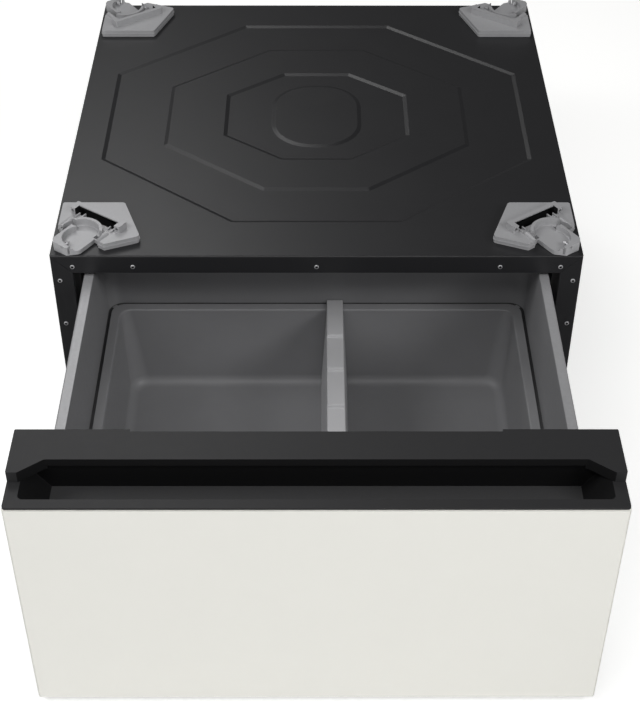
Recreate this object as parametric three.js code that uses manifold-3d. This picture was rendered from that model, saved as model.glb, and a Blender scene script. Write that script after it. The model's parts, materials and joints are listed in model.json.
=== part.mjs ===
// Pedestal drawer that stands under a front-loading washer.
// A folded steel cabinet on four levelling feet carries the washer in four corner cups.
// One drawer runs out of it on telescopic slides and is shown at its open stop.
// Units are millimetres. X is the width, Y runs from front to back, Z is up.
// Inside this file y = 0 is the cabinet's front face and z = 0 is the floor.

import * as THREE from "three";
import { mergeVertices } from "three/addons/utils/BufferGeometryUtils.js";
import Module from "manifold-3d";

const wasm = await Module();
wasm.setup();

// ---- driving dimensions: cabinet ----
const WIDTH = 686;
const CABINET_DEPTH = 674;
const TOP_HEIGHT = 381;
const FLOOR_CLEARANCE = 12;
const SHEET = 1.2;
const FIT_GAP = 0.3;
const TOP_FLANGE = 27;
const SIDE_FLANGE = 27.5;
const FRONT_RETURN = 50;
const REAR_FLANGE = 18;
const RAIL_SHEET = 1.5;
const RAIL_HEIGHT = 30;
const RAIL_FOOT_SHELF = 60;
const SIDE_RAIL_SHELF = 40;
const RAIL_TOP_LIP = 14;

// ---- driving dimensions: stamped top ----
const STAMP_DEPTH = 1.8;
const STAMP_SLOPE = 5.5;
const STAMP_SIDE_MARGIN = 45;
const STAMP_FRONT_MARGIN = 77;
const STAMP_BACK_MARGIN = 70;
// Each octagon is a share of the stamped field; `flat` and `side` are its straight edges' shares.
const OUTER_STAMP = { size: 1, flat: 0.376, side: 0.44 };
const MIDDLE_STAMP = { size: 0.717, flat: 0.336, side: 0.416 };
const INNER_STAMP = { size: 0.437, flat: 0.372, side: 0.47 };
const ISLAND = { width: 0.208, depth: 0.309, rounding: 0.92 };

// ---- driving dimensions: drawer box ----
const DRAWER_TRAVEL = 304;
const CLOSED_GAP = 2;
const SLIDE_SPACE = 13.5;
const DRAWER_TOP_CLEARANCE = 6;
const DRAWER_BOX_LENGTH = 390;
const SIDE_HEM_WIDTH = 9.6;
const SIDE_HEM_DROP = 22;
const SIDE_FOOT = 16;
const BACK_SHEET_DROP = 30;

// ---- driving dimensions: moulded bin ----
const BIN_WALL = 2.6;
const BIN_CLEARANCE = 0.6;
const BIN_END_CLEARANCE = 2;
const BIN_FLOOR_CLEARANCE = 1.7;
const BIN_RIM_DROP = 2;
const BIN_LEDGE_DROP = 102;
const BIN_FLOOR_DROP = 229;
const BIN_LEDGE_WIDTH = 17;
const BIN_UPPER_DRAFT = 4.5;
const BIN_LOWER_DRAFT = 6;
const BIN_UPPER_RADIUS = 20;
const BIN_LOWER_RADIUS = 14;
const BIN_FLOOR_FILLET = 12;

// ---- driving dimensions: divider ----
const DIVIDER_OFFSET = 25;
const DIVIDER_TOP_WIDTH = 22;
const DIVIDER_BASE_WIDTH = 37;
const DIVIDER_WALL = 2.4;
const DIVIDER_TONGUE = 4;
const DIVIDER_STEPS = [80, 143, 210];
const DIVIDER_STEP_DROP = 3.5;

// ---- driving dimensions: drawer front ----
const FRONT_DEPTH = 107.4;
const FRONT_FLOOR_CLEARANCE = 11;
const HANDLE_DROP = 13.2;
const LEDGE_DROP = 28.1;
const LEDGE_THICKNESS = 3;
const PANEL_SKIN = 1.2;
const PANEL_RETURN = 5;
const END_CAP_WALL = 2.5;
const END_CAP_CLEARANCE = 1;
const END_CAP_INSET = 0.7;
const TRIM_INSET = 1.2;
const TRIM_WALL = 3;
const BAR_DEPTH_ENDS = 68.2;
const BAR_DEPTH_MIDDLE = 48;
const BAR_DIAGONAL_INNER = 41;
const BAR_DIAGONAL_OUTER = 14;
const BAR_LIP = 10;
const BAR_NOTCH_DEPTH = 3.6;
const BAR_NOTCH_INSET = 132;
const TRIM_REAR_WALL = 28;
const POCKET_FRONT_LAND = 12.8;
const POCKET_UNDERCUT = 8;
const POCKET_DEPTH = 36;
const POCKET_END_INSET = 16;
const POCKET_END_SLOPE = 27;
const BUMPER_RADIUS = 6;

// ---- driving dimensions: telescopic slides ----
const SLIDE_LENGTH = 395;
const SLIDE_DROP = 117;
const SLIDE_SHEET = 1.2;
const SLIDE_HALF_HEIGHT = 23;
const SLIDE_NEST_GAP = 1.3;
const BRACKET_HALF_HEIGHT = 32;

// ---- driving dimensions: feet, screws and corner clamps ----
const FOOT_INSET_X = 38;
const FOOT_INSET_Y = 36;
const FOOT_PAD_RADIUS = 20;
const FOOT_STEM_RADIUS = 5;
const FOOT_HOLE_CLEARANCE = 0.6;
const FOOT_STEM_SPARE = 8;
const SCREW_HEAD_RADIUS = 3;
const SCREW_HEAD_HEIGHT = 1.5;
const SCREW_SHANK_RADIUS = 1.8;
const SCREW_SHANK_LENGTH = 8;
const SCREW_HOLE_CLEARANCE = 0.3;
const FLANGE_SCREW_DROP = 17;
const FLANGE_SCREW_INSETS = [28, 106];
const SIDE_SCREW_INSET = 9.7;
const SIDE_SCREW_FIRST_DROP = 39.5;
const SIDE_SCREW_SPACING = 72;
const SIDE_SCREW_COUNT = 3;
const CUP_CENTRE_X = 38;
const CUP_CENTRE_Y = 35;
const CUP_TURN = 34.5;
const CUP_WELL_RADIUS = 23.5;
const CUP_COLLAR_WALL = 5;
const CUP_FLOOR = 6;
const CUP_RIM_HEIGHT = 13.5;
const CUP_INNER_HEIGHT = 10;
const CUP_COLLAR_HEIGHT = 16;
const CUP_NOSE_REACH = 37.5;
const CUP_OUTER_HALF = 20.5;
const CUP_OUTER_CHAMFER = 6;
const CUP_INNER_HALF = 18.7;
const CUP_INNER_CHAMFER = 12;
const CUP_SLOT = { from: -13, to: -5, inset: 15, floor: 1.5 };
const NOSE_WELL = { u: 9, v: -6, radius: 23 };
const NOSE_SLIT_WIDTH = 2;
const NOSE_SLIT_OFFSET = 9;
const NOSE_SCREW_HEIGHT = 10.5;
const NOSE_HOLE_RADIUS = 1.8;
const CLAMP_BASE_HEIGHT = 10.5;
const CLAMP_GROOVE_DEPTH = 0.8;
const CLAMP_GROOVE_HEIGHT = 0.9;
const CLAMP_SIDE_INSET = 6;
const CLAMP_BACK = 104;
const CLAMP_BACK_WIDTH = 88;
const RIB_HEIGHT = 20;
const RIB_HALF_WIDTH = 41.5;
const RIB_DISTANCE = 14.5;
const RIB_LENGTH = 16;
const RIB_TOP_WIDTH = 6.5;
const RIB_ARM_WIDTH = 8;
const RIB_SKIN = 2;
const RIB_HOLLOW = 7;
const ARM_HOLE_RADIUS = 2.2;
const BOSS_INNER = 27.5;
const BOSS_OUTER = 30.5;
const BOSS_WIDTH = 8.5;
const BOSS_LENGTH = 18;
const BOSS_HEIGHT = 13.5;
const BOSS_HOLE_RADIUS = 1.5;
const BOSS_HOLE_HEIGHT = 8.5;
const ROUND_STEPS = 24;

// ---- places worked out from the driving dimensions ----
const halfWidth = WIDTH / 2;
const halfOpening = halfWidth - SIDE_FLANGE;
const halfDrawer = halfOpening - SLIDE_SPACE;
const insideWall = halfWidth - SHEET - FIT_GAP;
const sideTop = TOP_HEIGHT - SHEET - FIT_GAP;
const railTop = FLOOR_CLEARANCE + RAIL_HEIGHT;
const backSheetFace = CABINET_DEPTH - SHEET;
const frontBack = -(DRAWER_TRAVEL + CLOSED_GAP);
const panelFace = frontBack - FRONT_DEPTH;
const drawerTop = TOP_HEIGHT - TOP_FLANGE - DRAWER_TOP_CLEARANCE;
const halfStamp = halfWidth - STAMP_SIDE_MARGIN;
const stampCentre = (STAMP_FRONT_MARGIN + CABINET_DEPTH - STAMP_BACK_MARGIN) / 2;
const stampHalfDepth = stampCentre - STAMP_FRONT_MARGIN;
const drawerFront = frontBack + FIT_GAP;
const drawerRear = frontBack + DRAWER_BOX_LENGTH;
const binRim = drawerTop - BIN_RIM_DROP;
const binLedge = drawerTop - BIN_LEDGE_DROP;
const binFloor = drawerTop - BIN_FLOOR_DROP;
const floorSheet = binFloor - BIN_WALL - BIN_FLOOR_CLEARANCE - SHEET;
const drawerLow = floorSheet - FIT_GAP - SHEET;
const slideHeight = drawerTop - SLIDE_DROP;
const handleTop = TOP_HEIGHT - HANDLE_DROP;
const ledgeTop = TOP_HEIGHT - LEDGE_DROP;
const frontTop = ledgeTop - LEDGE_THICKNESS - FIT_GAP;
const trimHalf = halfWidth - TRIM_INSET;
const collarRadius = CUP_WELL_RADIUS + CUP_COLLAR_WALL;
const ribReach = collarRadius + RIB_DISTANCE;

// ---- geometry helpers ----

// A closed body lofted through rings of points that all have the same count, from the lowest up.
function loft(rings) {
  const count = rings[0].points.length;
  const positions = [];
  for (const { points, z } of rings) {
    for (const [x, y] of points) positions.push(x, y, z);
  }
  const faces = [];
  for (let level = 0; level < rings.length - 1; level += 1) {
    for (let i = 0; i < count; i += 1) {
      const a = level * count + i;
      const b = level * count + ((i + 1) % count);
      faces.push(a, b, b + count, a, b + count, a + count);
    }
  }
  const flat = (ring) => ring.points.map(([x, y]) => new THREE.Vector2(x, y));
  for (const [p, q, r] of THREE.ShapeUtils.triangulateShape(flat(rings[0]), [])) {
    faces.push(p, r, q);
  }
  const last = (rings.length - 1) * count;
  for (const [p, q, r] of THREE.ShapeUtils.triangulateShape(flat(rings.at(-1)), [])) {
    faces.push(last + p, last + q, last + r);
  }
  const geometry = new THREE.BufferGeometry();
  geometry.setAttribute("position", new THREE.Float32BufferAttribute(positions, 3));
  geometry.setIndex(faces);
  return geometry;
}

// An outline in X and Y, given anticlockwise, raised from z0 to z1.
function prism(points, z0, z1) {
  return loft([{ points, z: z0 }, { points, z: z1 }]);
}

// A profile in X and Z, given anticlockwise seen from the front, run from y0 to y1.
function prismAlongY(profile, y0, y1) {
  return prism(profile, -y1, -y0).rotateX(Math.PI / 2);
}

// A profile in Y and Z, given anticlockwise seen from +X, run from x0 to x1.
function prismAlongX(profile, x0, x1) {
  const turned = new THREE.Matrix4().set(0, 0, 1, 0, 1, 0, 0, 0, 0, 1, 0, 0, 0, 0, 0, 1);
  return prism(profile, x0, x1).applyMatrix4(turned);
}

function block(x0, x1, y0, y1, z0, z1) {
  const box = new THREE.BoxGeometry(x1 - x0, y1 - y0, z1 - z0);
  return box.translate((x0 + x1) / 2, (y0 + y1) / 2, (z0 + z1) / 2);
}

function rod(radius, length, steps = ROUND_STEPS) {
  return new THREE.CylinderGeometry(radius, radius, length, steps).rotateX(Math.PI / 2);
}

function turned(profile, steps = ROUND_STEPS) {
  const points = profile.map(([r, z]) => new THREE.Vector2(r, z));
  return new THREE.LatheGeometry(points, steps).rotateX(Math.PI / 2);
}

// A rounded rectangle, anticlockwise, with the same number of points whatever its radius.
function roundedRectangle(x0, x1, y0, y1, radius, steps = 5) {
  const corners = [
    [x1 - radius, y1 - radius, 0],
    [x0 + radius, y1 - radius, 90],
    [x0 + radius, y0 + radius, 180],
    [x1 - radius, y0 + radius, 270],
  ];
  return corners.flatMap(([cx, cy, start]) =>
    Array.from({ length: steps + 1 }, (_, i) => {
      const angle = THREE.MathUtils.degToRad(start + (90 * i) / steps);
      return [cx + radius * Math.cos(angle), cy + radius * Math.sin(angle)];
    }),
  );
}

function solid(geometry) {
  const bare = new THREE.BufferGeometry();
  bare.setAttribute("position", geometry.getAttribute("position"));
  bare.setIndex(geometry.index);
  const merged = mergeVertices(bare, 1e-3);
  return new wasm.Manifold(
    new wasm.Mesh({
      numProp: 3,
      vertProperties: new Float32Array(merged.getAttribute("position").array),
      triVerts: new Uint32Array(merged.index.array),
    }),
  );
}

function geometryOf(body) {
  const mesh = body.getMesh();
  const geometry = new THREE.BufferGeometry();
  geometry.setAttribute("position", new THREE.Float32BufferAttribute(mesh.vertProperties, 3));
  geometry.setIndex(Array.from(mesh.triVerts));
  return geometry;
}

// The first geometry joined with the rest.
function join(...geometries) {
  return geometryOf(geometries.map(solid).reduce((sum, part) => sum.add(part)));
}

// The first geometry with the rest cut away.
function cut(base, ...tools) {
  return geometryOf(tools.map(solid).reduce((rest, tool) => rest.subtract(tool), solid(base)));
}

function common(first, second) {
  return geometryOf(solid(first).intersect(solid(second)));
}

// The same piece for the other hand, with its faces turned back outwards.
function mirrored(geometry, axis) {
  const copy = geometry.clone().scale(axis === "x" ? -1 : 1, axis === "y" ? -1 : 1, 1);
  const faces = copy.index.array;
  for (let i = 0; i < faces.length; i += 3) {
    [faces[i + 1], faces[i + 2]] = [faces[i + 2], faces[i + 1]];
  }
  return copy;
}

// ---- finishes ----
const finish = (color, roughness, metalness) =>
  new THREE.MeshStandardMaterial({ color, roughness, metalness });
const blackPaint = finish("#2b2b2d", 0.5, 0.1);
const greyPlastic = finish("#57585a", 0.55, 0);
const clampGrey = finish("#8c8d8e", 0.45, 0.1);
const galvanised = finish("#b5b5b6", 0.4, 0.8);
const slideSteel = finish("#9a9b9d", 0.35, 0.9);
const screwSteel = finish("#a6a6a6", 0.35, 0.9);
const trimBlack = finish("#3b3b3c", 0.5, 0);
const panelWhite = finish("#e9e9e4", 0.35, 0);
const rubberBlack = finish("#1c1c1d", 0.8, 0);

const pedestal = new THREE.Group();
const content = new THREE.Group();
content.position.y = -(CABINET_DEPTH + panelFace) / 2;
pedestal.add(content);

function place(name, geometry, material, x = 0, y = 0, z = 0) {
  const mesh = new THREE.Mesh(geometry, material);
  mesh.name = name;
  mesh.position.set(x, y, z);
  content.add(mesh);
}

// Adds the right-hand piece and its mirror image on the left.
function placePair(name, geometry, material) {
  place(`${name}_right`, geometry, material);
  place(`${name}_left`, mirrored(geometry, "x"), material);
}

// ---- stamped top ----

function octagon({ size, flat, side }, grow) {
  const w = halfStamp * size + grow;
  const d = stampHalfDepth * size + grow;
  const f = halfStamp * size * flat;
  const s = stampHalfDepth * size * side;
  const corners = [[w, -s], [w, s], [f, d], [-f, d], [-w, s], [-w, -s], [-f, -d], [f, -d]];
  return corners.map(([x, y]) => [x, stampCentre + y]);
}

function islandOutline(grow) {
  const w = halfStamp * ISLAND.width + grow;
  const d = stampHalfDepth * ISLAND.depth + grow;
  const radius = Math.min(w, d) * ISLAND.rounding;
  return roundedRectangle(-w, w, stampCentre - d, stampCentre + d, radius);
}

// The stamped surface as the top of a thick block, at the given height.
function pressedBlock(top, overhang) {
  const low = top - STAMP_DEPTH;
  const base = low - 2 * STAMP_DEPTH;
  const side = halfWidth + overhang;
  const step = (outline, growLow) =>
    loft([{ points: octagon(outline, growLow), z: low }, { points: octagon(outline, 0), z: top }]);
  const recess = (outline) => {
    const above = { points: octagon(outline, STAMP_SLOPE / 4), z: top + STAMP_DEPTH / 4 };
    const below = { points: octagon(outline, -STAMP_SLOPE), z: low };
    return loft([below, { points: octagon(outline, 0), z: top }, above]);
  };
  return solid(block(-side, side, -overhang, CABINET_DEPTH + overhang, base, top))
    .subtract(solid(recess(OUTER_STAMP)))
    .add(solid(step(MIDDLE_STAMP, STAMP_SLOPE)))
    .subtract(solid(recess(INNER_STAMP)))
    .add(solid(loft([{ points: islandOutline(STAMP_SLOPE), z: low }, { points: islandOutline(0), z: top }])));
}

function screwHole(x, z) {
  const hole = rod(SCREW_SHANK_RADIUS + SCREW_HOLE_CLEARANCE, 4 * SHEET, 12);
  return hole.rotateX(Math.PI / 2).translate(x, SHEET / 2, z);
}

const [outerScrew, innerScrew] = FLANGE_SCREW_INSETS.map((inset) => halfWidth - inset);
const flangeScrewPlaces = [-outerScrew, -innerScrew, 0, innerScrew, outerScrew];
const sideScrewHeights = Array.from(
  { length: SIDE_SCREW_COUNT },
  (_, i) => TOP_HEIGHT - SIDE_SCREW_FIRST_DROP - i * SIDE_SCREW_SPACING,
);
const sideScrewX = halfWidth - SIDE_SCREW_INSET;

function topPanel() {
  const skin = pressedBlock(TOP_HEIGHT, 0).subtract(pressedBlock(TOP_HEIGHT - SHEET, 5));
  const flange = prismAlongY(
    [
      [-halfWidth, TOP_HEIGHT],
      [-halfOpening, TOP_HEIGHT - TOP_FLANGE],
      [halfOpening, TOP_HEIGHT - TOP_FLANGE],
      [halfWidth, TOP_HEIGHT],
    ],
    0,
    SHEET,
  );
  const holes = flangeScrewPlaces.map((x) => screwHole(x, TOP_HEIGHT - FLANGE_SCREW_DROP));
  return cut(geometryOf(skin.add(solid(flange))), ...holes);
}
place("top_panel", topPanel(), blackPaint);

// ---- side panels: outer wall, front flange with its return, rear flange ----

function sidePanel() {
  const outline = [
    [halfOpening, 0],
    [halfWidth, 0],
    [halfWidth, backSheetFace - FIT_GAP],
    [halfWidth - REAR_FLANGE, backSheetFace - FIT_GAP],
    [halfWidth - REAR_FLANGE, backSheetFace - FIT_GAP - SHEET],
    [halfWidth - SHEET, backSheetFace - FIT_GAP - SHEET],
    [halfWidth - SHEET, SHEET],
    [halfOpening + SHEET, SHEET],
    [halfOpening + SHEET, FRONT_RETURN],
    [halfOpening, FRONT_RETURN],
  ];
  const shell = prism(outline, FLOOR_CLEARANCE, sideTop);
  const slack = FIT_GAP * Math.SQRT2;
  const mitre = prismAlongY(
    [
      [halfOpening - 1, TOP_HEIGHT - TOP_FLANGE - slack - TOP_FLANGE / SIDE_FLANGE],
      [halfWidth + 1, TOP_HEIGHT - slack + TOP_FLANGE / SIDE_FLANGE],
      [halfOpening - 1, TOP_HEIGHT + TOP_FLANGE],
    ],
    -1,
    SHEET + FIT_GAP,
  );
  const railNotch = block(
    halfOpening - 1,
    halfWidth - SHEET - FIT_GAP,
    SHEET,
    FRONT_RETURN + 1,
    FLOOR_CLEARANCE - 1,
    railTop + FIT_GAP,
  );
  const cornerNotch = block(
    halfOpening - 1,
    halfWidth - SHEET - FIT_GAP,
    SHEET,
    FRONT_RETURN + 1,
    TOP_HEIGHT - TOP_FLANGE + SHEET,
    TOP_HEIGHT,
  );
  const holes = sideScrewHeights.map((z) => screwHole(sideScrewX, z));
  return cut(shell, mitre, railNotch, cornerNotch, ...holes);
}
placePair("side_panel", sidePanel(), blackPaint);

// ---- back panel with a shallow stamped field ----

function backPanel() {
  const inset = 60;
  const field = (grow) =>
    [
      [-halfWidth + inset - grow, FLOOR_CLEARANCE + inset - grow],
      [halfWidth - inset + grow, FLOOR_CLEARANCE + inset - grow],
      [halfWidth - inset + grow, sideTop - inset + grow],
      [-halfWidth + inset - grow, sideTop - inset + grow],
    ];
  const raise = (y, grow) =>
    loft([
      { points: field(grow + STAMP_SLOPE), z: y },
      { points: field(grow), z: y + STAMP_DEPTH },
    ]).rotateX(Math.PI / 2).translate(0, CABINET_DEPTH, 0);
  const sheet = block(-halfWidth, halfWidth, backSheetFace, CABINET_DEPTH, FLOOR_CLEARANCE, sideTop);
  const pressed = raise(SHEET, 0);
  const hollow = raise(0, -SHEET);
  return cut(join(sheet, pressed), hollow);
}
place("back_panel", backPanel(), blackPaint);

// ---- base rails ----

function footHole(x, y) {
  const hole = rod(FOOT_STEM_RADIUS + FOOT_HOLE_CLEARANCE, RAIL_HEIGHT, 16);
  return hole.translate(x, y, FLOOR_CLEARANCE);
}
const footX = halfWidth - FOOT_INSET_X;
const footRows = { front: FOOT_INSET_Y, back: CABINET_DEPTH - FOOT_INSET_Y };

// A channel across the cabinet; its web stands at `web` and its shelf runs inwards.
function crossRail(web, inwards, footY) {
  const low = FLOOR_CLEARANCE;
  const profile = [
    [web, low],
    [web + inwards * RAIL_FOOT_SHELF, low],
    [web + inwards * RAIL_FOOT_SHELF, low + RAIL_SHEET],
    [web + inwards * RAIL_SHEET, low + RAIL_SHEET],
    [web + inwards * RAIL_SHEET, railTop - RAIL_SHEET],
    [web + inwards * RAIL_TOP_LIP, railTop - RAIL_SHEET],
    [web + inwards * RAIL_TOP_LIP, railTop],
    [web, railTop],
  ];
  const outline = inwards > 0 ? profile : profile.reverse();
  const rail = prismAlongX(outline, -insideWall, insideWall);
  return cut(rail, footHole(footX, footY), footHole(-footX, footY));
}
const frontRailWeb = SHEET + FIT_GAP;
const rearRailWeb = backSheetFace - SHEET - 2 * FIT_GAP;
place("base_rail_front", crossRail(frontRailWeb, 1, footRows.front), blackPaint);
place("base_rail_rear", crossRail(rearRailWeb, -1, footRows.back), blackPaint);

function sideRail() {
  const low = FLOOR_CLEARANCE;
  const profile = [
    [insideWall - SIDE_RAIL_SHELF, low],
    [insideWall, low],
    [insideWall, railTop],
    [insideWall - RAIL_TOP_LIP, railTop],
    [insideWall - RAIL_TOP_LIP, railTop - RAIL_SHEET],
    [insideWall - RAIL_SHEET, railTop - RAIL_SHEET],
    [insideWall - RAIL_SHEET, low + RAIL_SHEET],
    [insideWall - SIDE_RAIL_SHELF, low + RAIL_SHEET],
  ];
  const shelf = RAIL_FOOT_SHELF + FIT_GAP;
  return prismAlongY(profile, frontRailWeb + shelf, rearRailWeb - shelf);
}
placePair("base_rail", sideRail(), blackPaint);

// ---- levelling feet: moulded pad, hexagon and threaded stem in one piece ----

function levellingFoot() {
  const r = FOOT_PAD_RADIUS;
  const neck = FLOOR_CLEARANCE - 1;
  const stemTop = railTop + FOOT_STEM_SPARE;
  const body = turned(
    [
      [0, 0],
      [r - 1.5, 0],
      [r, 1.5],
      [r, 4],
      [r * 0.6, neck - 3],
      [r * 0.6, neck - 2.5],
      [FOOT_STEM_RADIUS, neck - 2.5],
      [FOOT_STEM_RADIUS, stemTop - 1],
      [FOOT_STEM_RADIUS - 1, stemTop],
      [0, stemTop],
    ],
    20,
  );
  const hexagon = rod(FOOT_STEM_RADIUS * 1.7, 3.5, 6).translate(0, 0, neck - 1.75);
  return join(body, hexagon);
}
for (const [row, y] of Object.entries(footRows)) {
  place(`levelling_foot_${row}_left`, levellingFoot(), rubberBlack, -footX, y, 0);
  place(`levelling_foot_${row}_right`, levellingFoot(), rubberBlack, footX, y, 0);
}

// ---- front flange screws ----

function screw() {
  const shank = SCREW_SHANK_RADIUS;
  const head = SCREW_HEAD_RADIUS;
  const profile = [
    [0, -SCREW_SHANK_LENGTH],
    [shank * 0.5, -SCREW_SHANK_LENGTH],
    [shank, 1.5 - SCREW_SHANK_LENGTH],
    [shank, FIT_GAP / 3],
    [head, FIT_GAP / 3],
    [head, SCREW_HEAD_HEIGHT * 0.6],
    [head * 0.75, SCREW_HEAD_HEIGHT],
    [0, SCREW_HEAD_HEIGHT],
  ];
  return turned(profile, 12).rotateX(Math.PI / 2);
}
flangeScrewPlaces.forEach((x, i) => {
  place(`flange_screw_top_${i + 1}`, screw(), screwSteel, x, 0, TOP_HEIGHT - FLANGE_SCREW_DROP);
});
sideScrewHeights.forEach((z, i) => {
  place(`flange_screw_right_${i + 1}`, screw(), screwSteel, sideScrewX, 0, z);
  place(`flange_screw_left_${i + 1}`, screw(), screwSteel, -sideScrewX, 0, z);
});

// ---- corner clamps for the washer's feet ----
// Each is drawn for the front right corner. Its own axis, u, points to the corner; v runs across.

const cupX = halfWidth - CUP_CENTRE_X;
const clampFloor = TOP_HEIGHT + FIT_GAP;

// Turns a geometry drawn with u along +X and v along +Y to the front right corner's axes.
function toCorner(geometry) {
  return geometry.rotateZ(THREE.MathUtils.degToRad(CUP_TURN - 90)).translate(cupX, CUP_CENTRE_Y, 0);
}

// The nose's outline: v runs from the inner side, which is negative, to the cabinet's outer side.
function noseOutline() {
  const { from } = CUP_SLOT;
  return [
    [from, -CUP_INNER_HALF],
    [CUP_NOSE_REACH - CUP_INNER_CHAMFER, -CUP_INNER_HALF],
    [CUP_NOSE_REACH, CUP_INNER_CHAMFER - CUP_INNER_HALF],
    [CUP_NOSE_REACH, CUP_OUTER_HALF - CUP_OUTER_CHAMFER],
    [CUP_NOSE_REACH - CUP_OUTER_CHAMFER, CUP_OUTER_HALF],
    [from, CUP_OUTER_HALF],
  ];
}

// The washer's foot slides in over the open inner side and stops against the rim and the collar.
function footCup() {
  const base = clampFloor;
  const reach = CUP_NOSE_REACH;
  const above = base + 2 * CUP_COLLAR_HEIGHT;
  const noseBlock = prism(noseOutline(), base, base + CUP_RIM_HEIGHT);
  const collar = cut(
    rod(collarRadius, CUP_COLLAR_HEIGHT, 2 * ROUND_STEPS).translate(0, 0, base + CUP_COLLAR_HEIGHT / 2),
    block(CUP_SLOT.to, reach, -reach, reach, base - 1, above),
  );
  const lowSide = block(CUP_SLOT.to, reach + 1, -reach, -NOSE_SLIT_OFFSET, base + CUP_INNER_HEIGHT, above);
  const floorUp = (geometry) => geometry.translate(0, 0, base + CUP_FLOOR + CUP_COLLAR_HEIGHT / 2);
  const well = common(
    floorUp(rod(CUP_WELL_RADIUS, CUP_COLLAR_HEIGHT, 2 * ROUND_STEPS)),
    block(-reach, CUP_SLOT.to, -reach, reach, base, above),
  );
  const noseWell = floorUp(rod(NOSE_WELL.radius, CUP_COLLAR_HEIGHT, 2 * ROUND_STEPS));
  noseWell.translate(NOSE_WELL.u, NOSE_WELL.v, 0);
  const slot = block(CUP_SLOT.from, CUP_SLOT.to, -reach, reach, base + CUP_FLOOR, above);
  const slotEnd = (side) => {
    const near = side * CUP_SLOT.inset;
    const far = side * reach;
    const low = base + CUP_SLOT.floor;
    return block(CUP_SLOT.from, CUP_SLOT.to, Math.min(near, far), Math.max(near, far), low, above);
  };
  const slit = block(
    CUP_WELL_RADIUS,
    reach + 1,
    -NOSE_SLIT_OFFSET - NOSE_SLIT_WIDTH / 2,
    -NOSE_SLIT_OFFSET + NOSE_SLIT_WIDTH / 2,
    base + CUP_SLOT.floor,
    base + CUP_RIM_HEIGHT + 1,
  );
  const hole = rod(NOSE_HOLE_RADIUS, reach, 12).rotateY(Math.PI / 2);
  hole.translate(reach, 0, base + NOSE_SCREW_HEIGHT);
  const solidCup = join(noseBlock, collar);
  return toCorner(cut(solidCup, lowSide, well, noseWell, slot, slotEnd(1), slotEnd(-1), slit, hole));
}

function noseScrew() {
  const radius = NOSE_HOLE_RADIUS - FIT_GAP;
  const length = CUP_NOSE_REACH - CUP_WELL_RADIUS;
  const body = rod(radius, length, 10).rotateY(Math.PI / 2);
  body.translate(CUP_NOSE_REACH - 1 - length / 2, 0, clampFloor + NOSE_SCREW_HEIGHT);
  return toCorner(body);
}

// The clamp's plan in the corner's frame: u towards the corner, v across it.
function clampOutline() {
  const angle = THREE.MathUtils.degToRad(90 - CUP_TURN);
  const inCornerFrame = ([fromSide, fromFront]) => {
    const dx = CUP_CENTRE_X - fromSide;
    const dy = fromFront - CUP_CENTRE_Y;
    return [dx * Math.cos(angle) - dy * Math.sin(angle), dx * Math.sin(angle) + dy * Math.cos(angle)];
  };
  const side = CLAMP_SIDE_INSET;
  const plan = [
    [side, CLAMP_BACK],
    [CLAMP_BACK_WIDTH, CLAMP_BACK],
    [CLAMP_BACK_WIDTH + 26.5, 29],
    [70, 11.5],
    [54, 22.8],
    [CUP_CENTRE_X, CUP_CENTRE_Y],
    [15.5, 46.2],
    [side, 52.7],
  ];
  return plan.map(inCornerFrame);
}

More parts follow.
